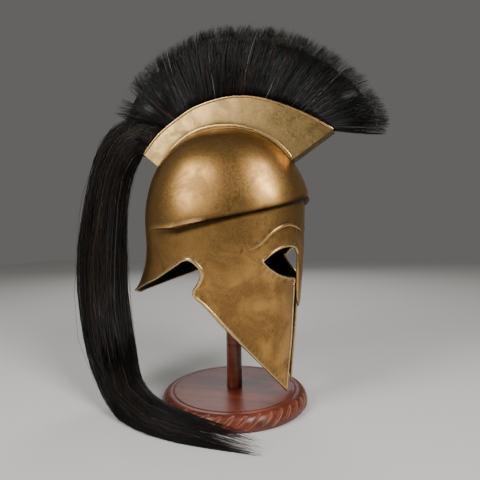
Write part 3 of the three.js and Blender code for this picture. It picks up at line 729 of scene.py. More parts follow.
def meridian_heights(azimuth, face_rows, ledge_rows, dome_rows):
    """Heights up each meridian: even on the face, close at the ledge, by the sine on the dome."""
    ledge = ledge_height(azimuth)
    rise = ease(np.degrees(np.abs(azimuth)), CUP_BOTTOM["from"], CUP_BOTTOM["to"])
    bottom = mix(CUP_BOTTOM["face"], CUP_BOTTOM["nape"], rise)
    foot, top = ledge - LEDGE["drop"], DOME["top"]
    face = mix(bottom, foot, (np.arange(face_rows) / face_rows)[:, None])
    step = mix(foot, ledge, (np.arange(ledge_rows) / ledge_rows)[:, None])
    dome = mix(ledge, top, np.sin(np.arange(dome_rows) / dome_rows * math.pi / 2)[:, None])
    return np.vstack([face, step, dome])


def make_cup(sheet):
    """Two layers of the skin a sheet's thickness apart, closed at the crown and along the bottom."""
    even = (np.arange(CUP_COLUMNS) + 0.5) / CUP_COLUMNS * 2 * math.pi - math.pi
    azimuth = even - 0.5 * np.sin(even)
    z = meridian_heights(azimuth, face_rows=44, ledge_rows=16, dome_rows=30)
    azimuth = np.broadcast_to(azimuth, z.shape)
    outer = skin(azimuth, z)
    inner = outer - sheet * skin_normal(azimuth, z)
    rows, columns = z.shape
    count = rows * columns
    crown = [[0, AXIS_Y + DOME["shift"], DOME["top"]], [0, AXIS_Y + DOME["shift"], DOME["top"] - sheet]]
    points = np.vstack([outer.reshape(-1, 3), inner.reshape(-1, 3), crown])
    layer = sheet_faces(rows, columns, wrap_columns=True)
    low = np.arange(columns)
    lip = np.stack([np.roll(low, -1), low, low + count, np.roll(low, -1) + count], axis=1)
    ring = low + (rows - 1) * columns
    triangles = np.vstack([fan_faces(ring, 2 * count), fan_faces(ring + count, 2 * count + 1)[:, ::-1]])
    return mesh_of("cup", points, np.vstack([layer, layer[:, ::-1] + count, lip]), triangles)


def opening_cutters():
    """What lies below the neck guard and cheeks, seen from the side, and the face's opening."""
    neck, cheek = skin(*edge_line(NECK_EDGE, 90)), skin(*edge_line(CHEEK_EDGE, 50))
    rim = np.vstack([neck, cheek[1:]])[:, 1:]
    below = np.vstack([[CUT_BACK, rim[0, 1]], rim, [CUT_FRONT, rim[-1, 1]], [CUT_FRONT, 0], [CUT_BACK, 0]])
    lines = [edge_line(*spec) for spec in ((CHEEK_FRONT, 40), (EYE_BOTTOM, 36), (EYE_TOP, 40),
                                           (NASAL_EDGE, 40))]
    half = np.vstack([skin(*line)[0 if i == 0 else 1:] for i, line in enumerate(lines)])[:, [0, 2]]
    mirrored = half[-2::-1] * [-1, 1]
    foot = [[half[0, 0], CUT_FOOT], [-half[0, 0], CUT_FOOT]]
    face = np.vstack([[foot[0]], half, mirrored, [foot[1]]])
    return [prism(below, -CUT_SIDE, CUT_SIDE, 0), prism(face, *CUT_FACE, 1)]


def rim_strip(table, side, half, high, deep, count):
    """A round bead swept along an edge: an oval as wide as twice `half`, from `deep` under the skin
    to `high` over it, that swells and thins a little as hand work does."""
    azimuth, z = edge_line(table, count)
    azimuth = azimuth * side
    point, normal = skin(azimuth, z), skin_normal(azimuth, z)
    along = unit(np.gradient(point, axis=0))
    across = unit(np.cross(along, normal))
    t = np.linspace(0, 1, count)
    run = np.cumsum(np.linalg.norm(np.diff(point, axis=0, prepend=point[:1]), axis=1))
    hand = 1 + 0.05 * np.sin(run / 7.1) * np.sin(run / 17.3 + side)
    end = np.minimum(t, 1 - t) * count / 2
    size = hand * mix(0.6, 1.0, np.clip(end, 0, 1))
    if table is BROW_RIDGE:
        size = size * np.clip(np.minimum(t, 1 - t) / 0.2, 0.1, 1) ** 0.6
    wide = half * size * rim_widths(table, count)
    turn = np.arange(14) / 14 * 2 * math.pi
    middle, reach = (high - deep) / 2, (high + deep) / 2
    lift = np.maximum(0, size[:, None] * (middle + reach * np.sin(turn)) + deep) - deep
    ring = point[:, None] + across[:, None] * (wide[:, None] * np.cos(turn))[..., None]
    return tubes((ring + normal[:, None] * lift[..., None])[None])


def distance_to(points, lines):
    """Least distance from each point to the points of some lines."""
    line = np.vstack(lines)
    least = np.full(len(points), np.inf)
    for start in range(0, len(line), 64):
        step = points[:, None] - line[None, start:start + 64]
        least = np.minimum(least, np.sqrt((step ** 2).sum(axis=2)).min(axis=1))
    return least


def mesh_points(mesh):
    """A mesh's vertices in millimetres."""
    points = np.empty(len(mesh.vertices) * 3)
    mesh.vertices.foreach_get("co", points)
    return points.reshape(-1, 3) / MM


def both_sides(table, count):
    """Points of an edge line on the wearer's left and right."""
    azimuth, z = edge_line(table, count)
    return [skin(azimuth, z), skin(-azimuth, z)]


def wear_helmet(mesh):
    """Marks for the material. Handling has polished the sheet near its free edges, and a painted highlight
    runs along the ledge's top edge. Grime lies beside the rims, painted shade lies beside the brow ridges
    and in a band under the ledge, and the inner face is marked to be painted nearly black as shade.
    """
    points = mesh_points(mesh)
    rims = [line for table in (NECK_EDGE, CHEEK_EDGE, CHEEK_FRONT, EYE_BOTTOM, EYE_TOP, NASAL_EDGE)
            for line in both_sides(table, 90)]
    brows = both_sides(BROW_RIDGE, 60)
    near_rim, near_brow = distance_to(points, rims), distance_to(points, brows)
    turned = np.arctan2(points[:, 0], AXIS_Y - points[:, 1])
    above = points[:, 2] - ledge_height(turned)
    fade = 1 - ease(np.degrees(np.abs(turned)), LEDGE["fade_from"], LEDGE["fade_to"])
    # Painted shadow: a dark band under the ledge's overhang, fading out towards the nape.
    under = ease(above, -13, -6) * (1 - ease(above, -0.9, -0.1)) * fade
    # Painted highlight: a bright line along the ledge's top edge.
    lip = np.exp(-((above - 0.7) / 0.8) ** 2) * fade
    # Grime in the corners beside the rims, and painted shade beside the brow ridges.
    grime_and_shade = 0.45 * np.exp(-((near_rim - 3.0) / 1.8) ** 2) + 0.65 * np.exp(-((near_brow - 2.9) / 1.2) ** 2)
    # Inner faces, which the material paints nearly black as shade.
    inside = facing_in(mesh, points)
    set_attribute(mesh, "wear_and_highlight", np.clip(0.9 * lip + 0.8 * np.exp(-near_rim / 1.2), 0, 1) * (1 - inside))
    set_attribute(mesh, "grime_and_shade", np.clip(grime_and_shade + under, 0, 1) * (1 - inside))
    set_attribute(mesh, "inside", inside)


def facing_in(mesh, points):
    """1 where the sheet faces the head, 0 where it faces out: the normal against the way out from
    the axis, or from the dome's centre above the springing."""
    normals = np.empty(len(mesh.vertices) * 3, np.float32)
    mesh.vertex_normals.foreach_get("vector", normals)
    middle = np.zeros_like(points)
    middle[:, 1] = AXIS_Y
    middle[:, 2] = np.minimum(points[:, 2], DOME["springing"])
    outward = (normals.reshape(-1, 3) * unit(points - middle)).sum(axis=1)
    return 1 - ease(outward, -0.25, 0.15)


class HELMET_OT_bowl(bpy.types.Operator):
    """Beat the helmet's sheet to shape and cut its eyes, slit, cheeks and neck guard"""
    bl_idname = "helmet.bowl"
    bl_label = "Beat the helmet"

    def execute(self, context):
        sheet, = millimetres(settings("helmet"), "sheet")
        mesh = cut_away(make_cup(sheet), opening_cutters())
        mesh.name = "helmet_bowl"
        wear_helmet(mesh)
        add_piece("helmet_bowl", mesh, helmet_brass(), "helmet_shell", sharp=50)
        return {"FINISHED"}


class HELMET_OT_rims(bpy.types.Operator):
    """Sweep the rolled rims along the openings and the ridge over each brow"""
    bl_idname = "helmet.rims"
    bl_label = "Roll the rims"

    def execute(self, context):
        s = settings("helmet")
        sheet, rolled, thin, eye, brow = millimetres(s, "sheet", "rolled_rim", "thin_rim", "eye_rim",
                                                     "brow")
        strips, marks = [], []
        for side in (1, -1):
            for table, half, high, deep, count in (
                    (NECK_EDGE, thin, 1.0, sheet + 0.3, 150),
                    (CHEEK_EDGE, rolled, 1.6, sheet + 0.6, 90),
                    (CHEEK_FRONT, thin, 1.0, sheet + 0.3, 80),
                    (EYE_BOTTOM, eye, 1.5, sheet + 0.8, 60),
                    (EYE_TOP, eye, 1.5, sheet + 0.8, 60),
                    (BROW_RIDGE, brow, 1.7, sheet + 0.4, 90)):
                strips.append(rim_strip(table, side, half, high, deep, count))
                # Each rim's mark is partly wear and partly painted highlight, weaker on the brow ridges.
                marks.append(np.full(len(strips[-1][0]), 0.5 if table is BROW_RIDGE else 0.85))
        mesh = mesh_of("helmet_rims", *join(strips))
        set_attribute(mesh, "wear_and_highlight", np.concatenate(marks))
        set_attribute(mesh, "grime_and_shade", np.zeros(len(mesh.vertices)))
        add_piece("helmet_rims", mesh, helmet_brass(), "helmet_shell")
        return {"FINISHED"}


# Crest box ----------------------------------------------------------------------------------------

def crest_edges(count, inset=0.0):
    """The top edge of the crest box and the foot under each of its points, as Y and Z."""
    rows = np.stack([column(CREST_TOP, "y"), column(CREST_TOP, "z")], axis=1)
    top = curve_through(rows, np.linspace(0, len(rows) - 1, count), centripetal=False)
    top = even_steps(top, count)
    share = np.linspace(0, 1, count)
    y = mix(CREST_FOOT[0] + inset, CREST_FOOT[1] - inset, share)
    top[:, 0] += inset * (1 - 2 * share)
    return top, y


def plate(top, foot_y, x_out, x_in, steps=10):
    """A side plate: ruled from its foot on the dome to its top edge, between two values of X."""
    share = np.linspace(0, 1, steps)[:, None]
    layers = []
    for x in (x_out, x_in):
        foot = np.stack([foot_y, dome_height(x_out, foot_y) + CREST_LIFT], axis=1)
        yz = mix(foot[None], top[None], share[..., None])
        layers.append(np.concatenate([np.full((*yz.shape[:2], 1), x), yz], axis=2))
    loop = np.concatenate([layers[0], layers[1][::-1]])
    rings = loop.transpose(1, 0, 2)
    return tubes(rings[None])


def wire(points, width, height, sides=14):
    """An oval bar along a line that keeps to one plane of constant X."""
    along = unit(np.gradient(points, axis=0))
    across = np.array([1.0, 0, 0])
    up = np.cross(across, along)
    turn = np.arange(sides) / sides * 2 * math.pi
    end = np.ones(len(points))
    end[[0, -1]], end[[1, -2]] = 0.55, 0.9
    ring = points[:, None] + across * (width / 2 * end[:, None] * np.cos(turn))[..., None]
    ring = ring + up[:, None] * (height / 2 * end[:, None] * np.sin(turn))[..., None]
    return tubes(ring[None])


class HELMET_OT_crest_box(bpy.types.Operator):
    """Make the crest box: two curved plates, closed ends, wired top edges and a soldered foot"""
    bl_idname = "helmet.crest_box"
    bl_label = "Solder the crest box"

    def execute(self, context):
        wall, half, bead = millimetres(settings("crest"), "wall", "half_width", "bead")
        top, foot_y = crest_edges(120)
        parts, wear_and_highlight, grime_and_shade = [], [], []

        # Each part gets a mark of wear with painted highlight, and one of grime with painted shade.
        def keep(part, rubbed_and_lit, dirt_and_shade):
            parts.append(part)
            wear_and_highlight.append(np.full(len(part[0]), rubbed_and_lit) if np.isscalar(rubbed_and_lit) else rubbed_and_lit)
            grime_and_shade.append(np.full(len(part[0]), dirt_and_shade) if np.isscalar(dirt_and_shade) else dirt_and_shade)

        for side in (-1, 1):
            body = plate(top, foot_y, side * half, side * (half - wall), 14)
            height = body[0][:, 2] - dome_height(body[0][:, 0], body[0][:, 1])
            inner = np.abs(body[0][:, 0]) < half - wall / 2
            # Painted shade: a dark line on the plates just above the lip strip, and darkened inner faces.
            keep(body, 0.0, np.clip(np.exp(-np.abs(height - 7) / 3.0) * 0.8 + 0.8 * inner, 0, 1))
            edge = np.insert(top, 0, side * half, axis=1)
            # Painted highlight along the top wires, with their wear.
            keep(wire(edge, bead, bead), 0.9, 0.0)
            x = side * (half + LIP["out"])
            lip = np.stack([np.full_like(foot_y, x), foot_y, dome_height(x, foot_y) + LIP["above"]], axis=1)
            # Painted highlight on the lip strip along the foot, with its wear.
            keep(wire(lip, LIP["wide"], LIP["high"]), 0.45, 0.0)
        for end in (0, -1):
            # Painted shade: the end plates are darkened as if in shadow.
            keep(end_plate(top, foot_y, end, half - 0.2, wall), 0.0, 0.75)
        mesh = mesh_of("crest_box", *join(parts))
        set_attribute(mesh, "wear_and_highlight", np.concatenate(wear_and_highlight))
        set_attribute(mesh, "grime_and_shade", np.concatenate(grime_and_shade))
        add_piece("crest_box", mesh, crest_brass(), "crest_holder", sharp=40)
        return {"FINISHED"}


def end_plate(top, foot_y, end, half, wall):
    """The wall across one end of the crest box, ruled from the foot to the top edge."""
    inward = wall if end == 0 else -wall
    foot = np.array([foot_y[end], dome_height(half, foot_y[end]) + CREST_LIFT])
    tip = top[end]
    along = np.linspace(0, 1, 8)[:, None]
    outer, inner = mix(foot, tip, along), mix(foot + [inward * 1.2, 0], tip + [inward * 1.2, 0], along)
    loop = np.vstack([outer, inner[::-1]])
    x = np.linspace(-half, half, 9)
    rings = np.stack([np.insert(loop, 0, value, axis=1) for value in x])
    return tubes(rings[None])


# Horsehair ----------------------------------------------------------------------------------------

def strands(paths, width, tip=0.25):
    """Thin three-sided tapering tubes along paths given as hairs by points by 3."""
    along = unit(np.gradient(paths, axis=1))
    side = unit(np.cross(along, np.array([0.37, 0.53, 0.76])))
    other = np.cross(along, side)
    t = np.linspace(0, 1, paths.shape[1])
    thick = width[:, None] / 2 * mix(1.0, tip, t ** 2)[None]
    turn = np.arange(3) / 3 * 2 * math.pi
    offset = (side[:, :, None] * np.cos(turn)[:, None] + other[:, :, None] * np.sin(turn)[:, None])
    return tubes(paths[:, :, None] + offset * thick[..., None, None])


def fan_point(share, out):
    """Y and Z of a point of the fan: straight from its root in the box to its tip."""
    rows = np.stack([column(CREST_TOP, "y"), column(CREST_TOP, "z") - 1], axis=1)
    at = mix(*FAN_ROOTS, share) * (len(rows) - 1)
    root = curve_through(rows, at, centripetal=False)
    tip = np.stack([read(FAN, "share", "y", share), read(FAN, "share", "z", share)], axis=-1)
    return mix(root, tip, np.asarray(out)[..., None])


def fan_hairs(count, rng, width):
    """Hairs from the box's mouth outward: each is drawn to its lock towards the tip, bows outward
    with the fan's thickness, sags by the cube of its reach and ends near the fan's outline."""
    laid, locks = FAN_HAIR, FAN_HAIR["locks"]
    t = np.linspace(0, 1, laid["points"])
    lock = rng.integers(0, locks, count)
    lock_share = (np.arange(locks) + 0.5 + rng.uniform(-0.4, 0.4, locks)) / locks
    lock_lean = rng.normal(0, laid["lean"], locks)
    lock_reach = rng.normal(0, laid["uneven"], locks)
    root = np.clip(lock_share[lock] + rng.normal(0, laid["root_spread"] / locks, count), 0, 1)
    tip = lock_share[lock] + lock_lean[lock] + rng.normal(0, laid["tip_spread"] / locks, count)
    stray = rng.random(count) < laid["strays"]
    tip = tip + stray * rng.normal(0, laid["stray_spread"], count)
    share = np.clip(mix(root[:, None], tip[:, None], t ** 1.4), 0, 1)
    full = rng.random(count) < laid["full_length"]
    reach = np.where(full, rng.normal(laid["reach"], laid["reach_spread"], count) + lock_reach[lock],
                     rng.uniform(laid["shortest"], laid["longest"], count))
    notch = 1 - FAN_NOTCH["depth"] * np.exp(-((tip - FAN_NOTCH["share"]) / FAN_NOTCH["width"]) ** 2)
    out = (np.minimum(reach, laid["most"]) * notch)[:, None] * t
    place = fan_point(share, out)
    half = read(FAN_THICKNESS, "out", "half", out)
    across = np.sign(rng.uniform(-1, 1, count)) * rng.beta(2.2, 1.0, count)
    wave = (0.5 + 1.2 * stray[:, None]) * np.sin(t * rng.uniform(2, 7, count)[:, None]
                                                + rng.uniform(0, 6, count)[:, None])
    x = across[:, None] * half + wave * t
    level = np.minimum(np.abs(place[:, -1, 0] - place[:, 0, 0]) / 120, 1)[:, None]
    sag = laid["sag"] * level * t ** 3 * rng.uniform(0.1, 1.0, count)[:, None]
    paths = np.stack([x, place[..., 0] + 0.6 * wave * t, place[..., 1] - sag], axis=-1)
    tones = hair_tones(lock, len(t), rng)
    return strands(paths, width * rng.uniform(0.6, 1.15, count)), tones


def hair_tones(lock, points, rng):
    """One shade per hair, near its lock's shade, for each vertex of its tube and its two caps."""
    lock_tone = rng.beta(1.2, 2.0, lock.max() + 1)
    tone = 0.55 * lock_tone[lock] + 0.45 * rng.beta(1.3, 2.2, len(lock))
    tone = np.clip(tone + (rng.random(len(lock)) < 0.02) * 0.6, 0, 1)
    return np.concatenate([np.repeat(tone, points * 3), np.repeat(tone, 2)])


def tail_frame(at):
    """Middle, sideways and outward directions, half width and half thickness along the tail."""
    rows = np.stack([column(TAIL, axis) for axis in "xyz"], axis=1)
    last = len(rows) - 1
    spot = np.clip(at, 0, 1) * last
    middle = curve_through(rows, spot)
    step = 0.002 * last
    along = unit(curve_through(rows, np.clip(spot + step, 0, last))
                 - curve_through(rows, np.clip(spot - step, 0, last)))
    flat = unit(np.array([1.0, 0, 0]) - along * along[..., :1])
    across = np.cross(along, flat)
    table = {"row": list(range(len(rows))), "wide": TAIL["wide"], "thick": TAIL["thick"]}
    return middle, across, flat, read(table, "row", "wide", spot), read(table, "row", "thick", spot)


def tail_hairs(count, rng, width):
    """Hairs down the tail: each keeps near its lock in the oval bundle, the locks wander a little
    round it, and the hairs end one after another along the sweep on the floor."""
    laid, locks = TAIL_HAIR, TAIL_HAIR["locks"]
    t = np.linspace(0, 1, laid["points"])
    start = rng.uniform(0, laid["root"], count)
    end = np.where(rng.random(count) < 0.5, 0.58 + 0.42 * rng.beta(2.6, 1.9, count),
                   rng.uniform(0.30, 0.92, count))
    at = start[:, None] + (end - start)[:, None] * t
    middle, across, flat, wide, thick = tail_frame(at)
    lock = rng.integers(0, locks, count)
    lock_turn = rng.uniform(0, 2 * math.pi, locks)
    lock_depth = np.sqrt(rng.uniform(0.35, 0.92, locks))
    pace, phase = rng.uniform(5, 14, locks), rng.uniform(0, 6, locks)
    turn = lock_turn[lock] + rng.normal(0, laid["turn_spread"], count)
    depth = np.clip(lock_depth[lock] + rng.normal(0, laid["depth_spread"], count), 0, 1.0)
    close = 1 - laid["gather"] * np.sin(at * math.pi)
    turn = mix(lock_turn[lock][:, None], turn[:, None], close)
    sway = laid["sway"] * np.sin(at * pace[lock][:, None] + phase[lock][:, None])
    wander = laid["wander"] * np.sin(at * rng.uniform(8, 30, count)[:, None]
                                     + rng.uniform(0, 6, count)[:, None])
    loose = (rng.random(count) < laid["loose"]) * rng.uniform(0.0, laid["loose_reach"], count)
    swell, spot = rng.uniform(0.05, 0.16, count)[:, None], rng.uniform(0.1, 0.9, count)[:, None]
    rise = np.exp(-((at - spot) / swell) ** 2)
    spread = depth[:, None] + loose[:, None] * rise
    u = wide * (spread * np.cos(turn + sway) + wander)
    v = thick * (spread * np.sin(turn + sway) + wander)
    paths = middle + across * u[..., None] + flat * v[..., None]
    paths[..., 2] = np.maximum(paths[..., 2], FLOOR_GAP + 0.5 * rng.random(count)[:, None])
    tones = hair_tones(lock, len(t), rng)
    return strands(paths, width * rng.uniform(0.6, 1.25, count)), tones


def bridge_hairs(count, rng, width):
    """Hairs rooted at the box's rear that rise with the fan, turn over and fall into the tail: a
    smooth curve through root, crown and a point of the tail, bent by the squares of its share."""
    laid = BRIDGE_HAIR
    t = np.linspace(0, 1, laid["points"])[:, None]
    lock = rng.integers(0, laid["locks"], count)
    along = np.clip(rng.uniform(0, 1, laid["locks"])[lock] + rng.normal(0, 0.06, count), 0, 1)
    rows = np.stack([column(CREST_TOP, "y"), column(CREST_TOP, "z") - 1], axis=1)
    root = curve_through(rows, mix(*laid["roots"], along) * (len(rows) - 1), centripetal=False)
    root = np.insert(root, 0, rng.uniform(-laid["root_half"], laid["root_half"], count), axis=1)
    at = mix(*laid["ends"], along) + rng.uniform(-0.02, 0.06, count)
    middle, across, flat, wide, thick = tail_frame(at)
    turn, depth = rng.uniform(0, 2 * math.pi, count), rng.uniform(0.55, 0.98, count)
    end = middle + across * (wide * depth * np.cos(turn))[:, None]
    end = end + flat * (thick * depth * np.sin(turn))[:, None]
    lift, back = mix(*laid["lift"], along) * rng.uniform(0.5, 1, count), mix(*laid["back"], along)
    crown = np.stack([0.5 * (root[:, 0] + end[:, 0]), root[:, 1] + back, root[:, 2] + lift], axis=1)
    crown[:, 1] = np.minimum(crown[:, 1], laid["rearmost"])
    start, stop = (1 - t) ** 2, t ** 2
    control = crown + laid["bow"] * (crown - (root + end) / 2)
    paths = root[:, None] * start + control[:, None] * (2 * t * (1 - t)) + end[:, None] * stop
    return strands(paths, width * rng.uniform(0.6, 1.1, count)), hair_tones(lock, len(t), rng)


def fan_core():
    """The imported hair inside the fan: sections across the box, thinned and shortened."""
    share = np.linspace(0.008, 0.992, 120)
    out = np.array([-0.03, 0.1, 0.3, 0.45, 0.6, 0.72, 0.8])
    grid_share, grid_out = np.meshgrid(share, out, indexing="ij")
    place = fan_point(grid_share, grid_out)
    half = 0.8 * read(FAN_THICKNESS, "out", "half", grid_out) * (1 - 0.85 * ease(grid_out, 0.5, 0.82))
    right = np.concatenate([half[..., None], place], axis=-1)
    left = right[:, ::-1] * [-1, 1, 1]
    return tubes(np.concatenate([right, left], axis=1)[None])


def tail_core():
    """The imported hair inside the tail, from the box to where the sweep thins out."""
    at = np.linspace(0.012, 0.76, 110)
    middle, across, flat, wide, thick = tail_frame(at)
    turn = np.arange(28) / 28 * 2 * math.pi
    slim = 0.8 * (1 - 0.8 * ease(at, 0.56, 0.76))
    ring = middle[:, None] + across[:, None] * (wide[:, None] * slim[:, None] * np.cos(turn))[..., None]
    ring = ring + flat[:, None] * (thick[:, None] * slim[:, None] * np.sin(turn))[..., None]
    ring[..., 2] = np.maximum(ring[..., 2], FLOOR_GAP)
    return tubes(ring[None])


def add_hair(name, parts, tones, replaces):
    mesh = mesh_of(name, *parts, outward=False)
    set_attribute(mesh, "tone", tones)
    add_piece(name, mesh, horsehair(), replaces)


class HELMET_OT_fan(bpy.types.Operator):
    """Set the fan of horsehair in the crest box"""
    bl_idname = "helmet.fan"
    bl_label = "Set the fan"

    def execute(self, context):
        s = settings("hair")
        width, = millimetres(s, "thickness")
        rng = np.random.default_rng(11)
        core = fan_core()
        add_hair("fan_core", core, np.zeros(len(core[0])), "crest_plume")
        for k in range(2):
            hair, tones = fan_hairs(s.fan_hairs // 2, rng, width)
            add_hair(f"fan_hair_{k + 1}", hair, tones, "crest_plume")
        return {"FINISHED"}


class HELMET_OT_tail(bpy.types.Operator):
    """Hang the tail of horsehair from the box's rear end down to the floor"""
    bl_idname = "helmet.tail"
    bl_label = "Hang the tail"

    def execute(self, context):
        s = settings("hair")
        width, = millimetres(s, "thickness")
        rng = np.random.default_rng(23)
        core = tail_core()
        add_hair("tail_core", core, np.zeros(len(core[0])), "tail_plume")
        for k in range(2):
            hair, tones = tail_hairs(s.tail_hairs // 2, rng, width)
            add_hair(f"tail_hair_{k + 1}", hair, tones, "tail_plume")
        hair, tones = bridge_hairs(s.bridge_hairs, rng, width)
        add_hair("bridge_hair", hair, tones, "tail_plume")
        return {"FINISHED"}


# Stand --------------------------------------------------------------------------------------------

def turned(profile, columns):
    """A profile of radius and height spun round the post's axis, closed at its two poles."""
    turn = np.arange(columns) / columns * 2 * math.pi
    r, z = profile[1:-1, 0, None], profile[1:-1, 1, None]
    rings = np.stack([r * np.sin(turn), -r * np.cos(turn), np.broadcast_to(z, (len(r), columns))], -1)
    rows = len(r)
    poles = [[0, 0, profile[0, 1]], [0, 0, profile[-1, 1]]]
    points = np.vstack([rings.reshape(-1, 3), poles])
    low, high = np.arange(columns), np.arange(columns) + (rows - 1) * columns
    triangles = np.vstack([fan_faces(low, rows * columns)[:, ::-1], fan_faces(high, rows * columns + 1)])
    return points, sheet_faces(rows, columns, wrap_columns=True), triangles


def base_profile(height, radius, groove):
    """Foot, rounded rim, groove and flat top of the base, as radius and height, closely spaced."""
    flat, waist, foot = FLAT_RADIUS, WAIST, radius - 3.0
    under = np.stack([np.linspace(0, foot - 1, 4), np.zeros(4)], axis=1)
    lift = np.stack([foot - 1 + np.sin(np.linspace(0, math.pi / 2, 5)),
                     1 - np.cos(np.linspace(0, math.pi / 2, 5))], axis=1)
    turn = np.linspace(0, math.pi / 2, 42)
    rim = np.stack([flat + (radius - flat) * np.cos(turn) ** 0.8,
                    waist + (height - waist) * np.sin(turn)], axis=1)
    dip = np.linspace(flat - 0.5, flat - 6, 18)
    notch = np.stack([dip, height - groove * np.exp(-((dip - flat + 2.6) / 0.9) ** 2)], axis=1)
    top = np.stack([np.linspace(flat - 7.5, 0, 8), np.full(8, height)], axis=1)
    return np.vstack([under, lift, rim, notch, top])


def carve(points, columns, rows, count, depth, radius):
    """Crescent cuts: each follows a leaning arc down the rim, is a rounded valley across, and fades
    at both ends; every other one is shorter."""
    x, y, z = points[:rows * columns].T
    turn = np.arctan2(x, -y)
    up = np.arctan2(z - WAIST, np.hypot(x, y) - FLAT_RADIUS)
    reach = (GOUGE_START - np.degrees(up)) / GOUGE_START
    on_rim = (np.hypot(x, y) > FLAT_RADIUS) & (z > 3.0)
    spacing = 2 * math.pi / count
    cut, flank = np.zeros_like(x), np.zeros_like(x)
    bend = 0.19 * (reach - 0.35) + 0.06 * (reach - 0.35) ** 2
    lane = (turn + bend) / spacing
    for shift in (-1, 0, 1):
        number = np.round(lane) + shift
        short = number % 2
        across = (lane - number) * spacing * radius
        ends = 1 - ((reach - mix(0.46, 0.42, short)) / mix(0.52, 0.40, short)) ** 2
        half_width = 3.1 * np.sqrt(np.clip(ends, 0, 1)) + 1e-6
        valley = np.clip(1 - (across / half_width) ** 2, 0, 1) * np.clip(ends, 0, 1) ** 0.5
        cut = np.maximum(cut, valley)
        side = np.exp(-((np.abs(across) - half_width) / 0.8) ** 2) * np.clip(ends, 0, 1)
        flank = np.maximum(flank, side)
    cut, flank = cut * on_rim, flank * on_rim
    inward = np.stack([-np.sin(turn) * np.cos(up), np.cos(turn) * np.cos(up), -np.sin(up)], axis=1)
    carved = points.copy()
    carved[:rows * columns] += inward * (depth * cut)[:, None]
    marks = np.zeros(len(points))
    # Paler marks along each cut's edges and in its valley: partly bared wood, partly a painted highlight.
    marks[:rows * columns] = np.clip(0.75 * flank + 0.25 * cut, 0, 1)
    return carved, marks


class HELMET_OT_base(bpy.types.Operator):
    """Turn the round base and carve its rim"""
    bl_idname = "helmet.base"
    bl_label = "Turn the base"

    def execute(self, context):
        s = settings("stand")
        depth, groove = millimetres(s, "gouge_depth", "groove")
        columns = 608
        profile = base_profile(BASE_HEIGHT, BASE_RADIUS, groove)
        points, quads, triangles = turned(profile, columns)
        points, marks = carve(points, columns, len(profile) - 2, s.gouges, depth, BASE_RADIUS)
        mesh = mesh_of("carved_base", points, quads, triangles)
        set_attribute(mesh, "carved", marks)
        add_piece("carved_base", mesh, stained_wood(), "stand_base", sharp=60)
        return {"FINISHED"}


class HELMET_OT_post(bpy.types.Operator):
    """Turn the post and the round head that carries the helmet"""
    bl_idname = "helmet.post"
    bl_label = "Turn the post"

    def execute(self, context):
        radius, low, high = float(POST_HIGH[0]), float(POST_LOW[2]), float(POST_HIGH[2])
        shaft = np.linspace(low + 1, high - 1, 30)
        z = np.concatenate([[low, low, low + 0.4], shaft, [high - 0.4, high, high]])
        r = np.full(len(z), radius)
        r[[0, -1]], r[[1, -2]], r[[2, -3]] = 0, radius - 0.5, radius - 0.15
        post = turned(np.stack([r, z], axis=1), 72)
        wide, under, crown = float(CAP_HIGH[0]), float(CAP_LOW[2]), float(CAP_HIGH[2])
        centre = float(CAP_LOW[1] + CAP_HIGH[1]) / 2
        head = np.array([[0, under], [wide - 0.8, under], [wide, under + 0.8], [wide, under + 6.2],
                         [wide - 1, under + 7.2], [wide * 0.75, crown - 4.6], [wide * 0.35, crown - 1.1],
                         [0, crown]])
        head = turned(head, 72)
        head[0][:, 1] += centre
        for name, part, node in (("post", post, "stand_post"), ("post_head", head, "stand_cap")):
            mesh = mesh_of(name, *part)
            set_attribute(mesh, "carved", np.zeros(len(mesh.vertices)))
            add_piece(name, mesh, stained_wood(), node, sharp=40)
        return {"FINISHED"}


# Stage --------------------------------------------------------------------------------------------

def add_softbox(name, place, target, size, watts):
    """A soft rectangular light, turned to its target."""
    light = bpy.data.lights.new(name, "AREA")
    light.shape, light.size, light.size_y, light.energy = "RECTANGLE", size[0], size[1], watts
    lamp = bpy.data.objects.new(name, light)
    lamp.location = place
    lamp.rotation_euler = (Vector(target) - Vector(place)).to_track_quat("-Z", "Y").to_euler()
    bpy.context.scene.collection.objects.link(lamp)


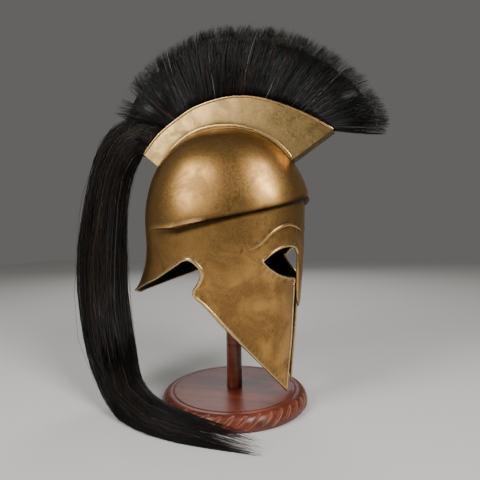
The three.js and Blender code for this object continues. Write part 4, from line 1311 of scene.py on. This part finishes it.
class HELMET_OT_stage(bpy.types.Operator):
    """Set the pale floor, the soft lights and the camera"""
    bl_idname = "helmet.stage"
    bl_label = "Set the stage"

    def execute(self, context):
        s = settings("stage")
        half = 3000.0                  # millimetres of floor each way from the stand
        floor = mesh_of("floor", [[-half, -half, 0], [half, -half, 0], [half, half, 0], [-half, half, 0]],
                        [[0, 1, 2, 3]], outward=False)
        floor.materials.append(paper_material("studio_paper", tuple(s.paper)))
        floor = bpy.data.objects.new("floor", floor)
        context.scene.collection.objects.link(floor)

        world = bpy.data.worlds.new("studio")
        world.use_nodes = True
        background = world.node_tree.nodes["Background"]
        background.inputs["Color"].default_value = (*tuple(s.paper), 1)
        background.inputs["Strength"].default_value = s.ambient
        context.scene.world = world

        self.place_camera(context, s)
        middle = (0, 0, 0.30)
        add_softbox("key", (-0.70, -0.91, 1.10), middle, (0.50, 0.75), s.key)
        add_softbox("fill", (-0.98, 0.64, 0.95), middle, (0.42, 0.75), s.fill)
        add_softbox("back", (1.5, 0.5, 1.3), middle, (0.9, 0.9), s.back)
        return {"FINISHED"}

    def place_camera(self, context, s):
        """The camera looks level past the stand's axis, panned, pitched and rolled a little."""
        pan, pitch, roll = math.radians(1.1), math.radians(-0.8), math.radians(-1.0)
        focal, sensor = 30.9, 36.0
        place = Vector((-s.distance * math.cos(s.side), -s.distance * math.sin(s.side), s.height))
        yaw = s.side - pan
        ahead = Vector((math.cos(pitch) * math.cos(yaw), math.cos(pitch) * math.sin(yaw), math.sin(pitch)))
        right = Vector((math.sin(yaw), -math.cos(yaw), 0))
        up = right.cross(ahead)
        right, up = (right * math.cos(roll) + up * math.sin(roll),
                     up * math.cos(roll) - right * math.sin(roll))
        turn = Matrix((right, up, -ahead)).transposed()
        data = bpy.data.cameras.new("camera")
        data.lens, data.sensor_width = focal, sensor
        camera = bpy.data.objects.new("camera", data)
        camera.matrix_world = Matrix.Translation(place) @ turn.to_4x4()
        context.scene.collection.objects.link(camera)
        context.scene.camera = camera


class HELMET_PT_panel(bpy.types.Panel):
    """Lists the helmet's settings and the steps that make it"""
    bl_idname = "HELMET_PT_panel"
    bl_label = "Corinthian helmet"
    bl_space_type = "VIEW_3D"
    bl_region_type = "UI"
    bl_category = "Helmet"

    def draw(self, context):
        for name, group in GROUPS.items():
            box = self.layout.box()
            box.label(text=name.capitalize())
            for field in group.__annotations__:
                box.prop(getattr(context.scene, name), field)
        for operator in OPERATORS:
            self.layout.operator(operator.bl_idname)


GROUPS = {"helmet": HelmetSettings, "crest": CrestSettings, "hair": HairSettings,
          "stand": StandSettings, "stage": StageSettings}
OPERATORS = (HELMET_OT_bowl, HELMET_OT_rims, HELMET_OT_crest_box, HELMET_OT_fan, HELMET_OT_tail,
             HELMET_OT_base, HELMET_OT_post, HELMET_OT_stage)
CLASSES = (*GROUPS.values(), *OPERATORS, HELMET_PT_panel)


def register():
    for cls in CLASSES:
        bpy.utils.register_class(cls)
    for name, group in GROUPS.items():
        setattr(bpy.types.Scene, name, PointerProperty(type=group))


def unregister():
    for name in GROUPS:
        delattr(bpy.types.Scene, name)
    for cls in reversed(CLASSES):
        bpy.utils.unregister_class(cls)


def main():
    register()
    for operator in OPERATORS:
        category, name = operator.bl_idname.split(".")
        getattr(getattr(bpy.ops, category), name)()


if __name__ == "__main__":
    main()
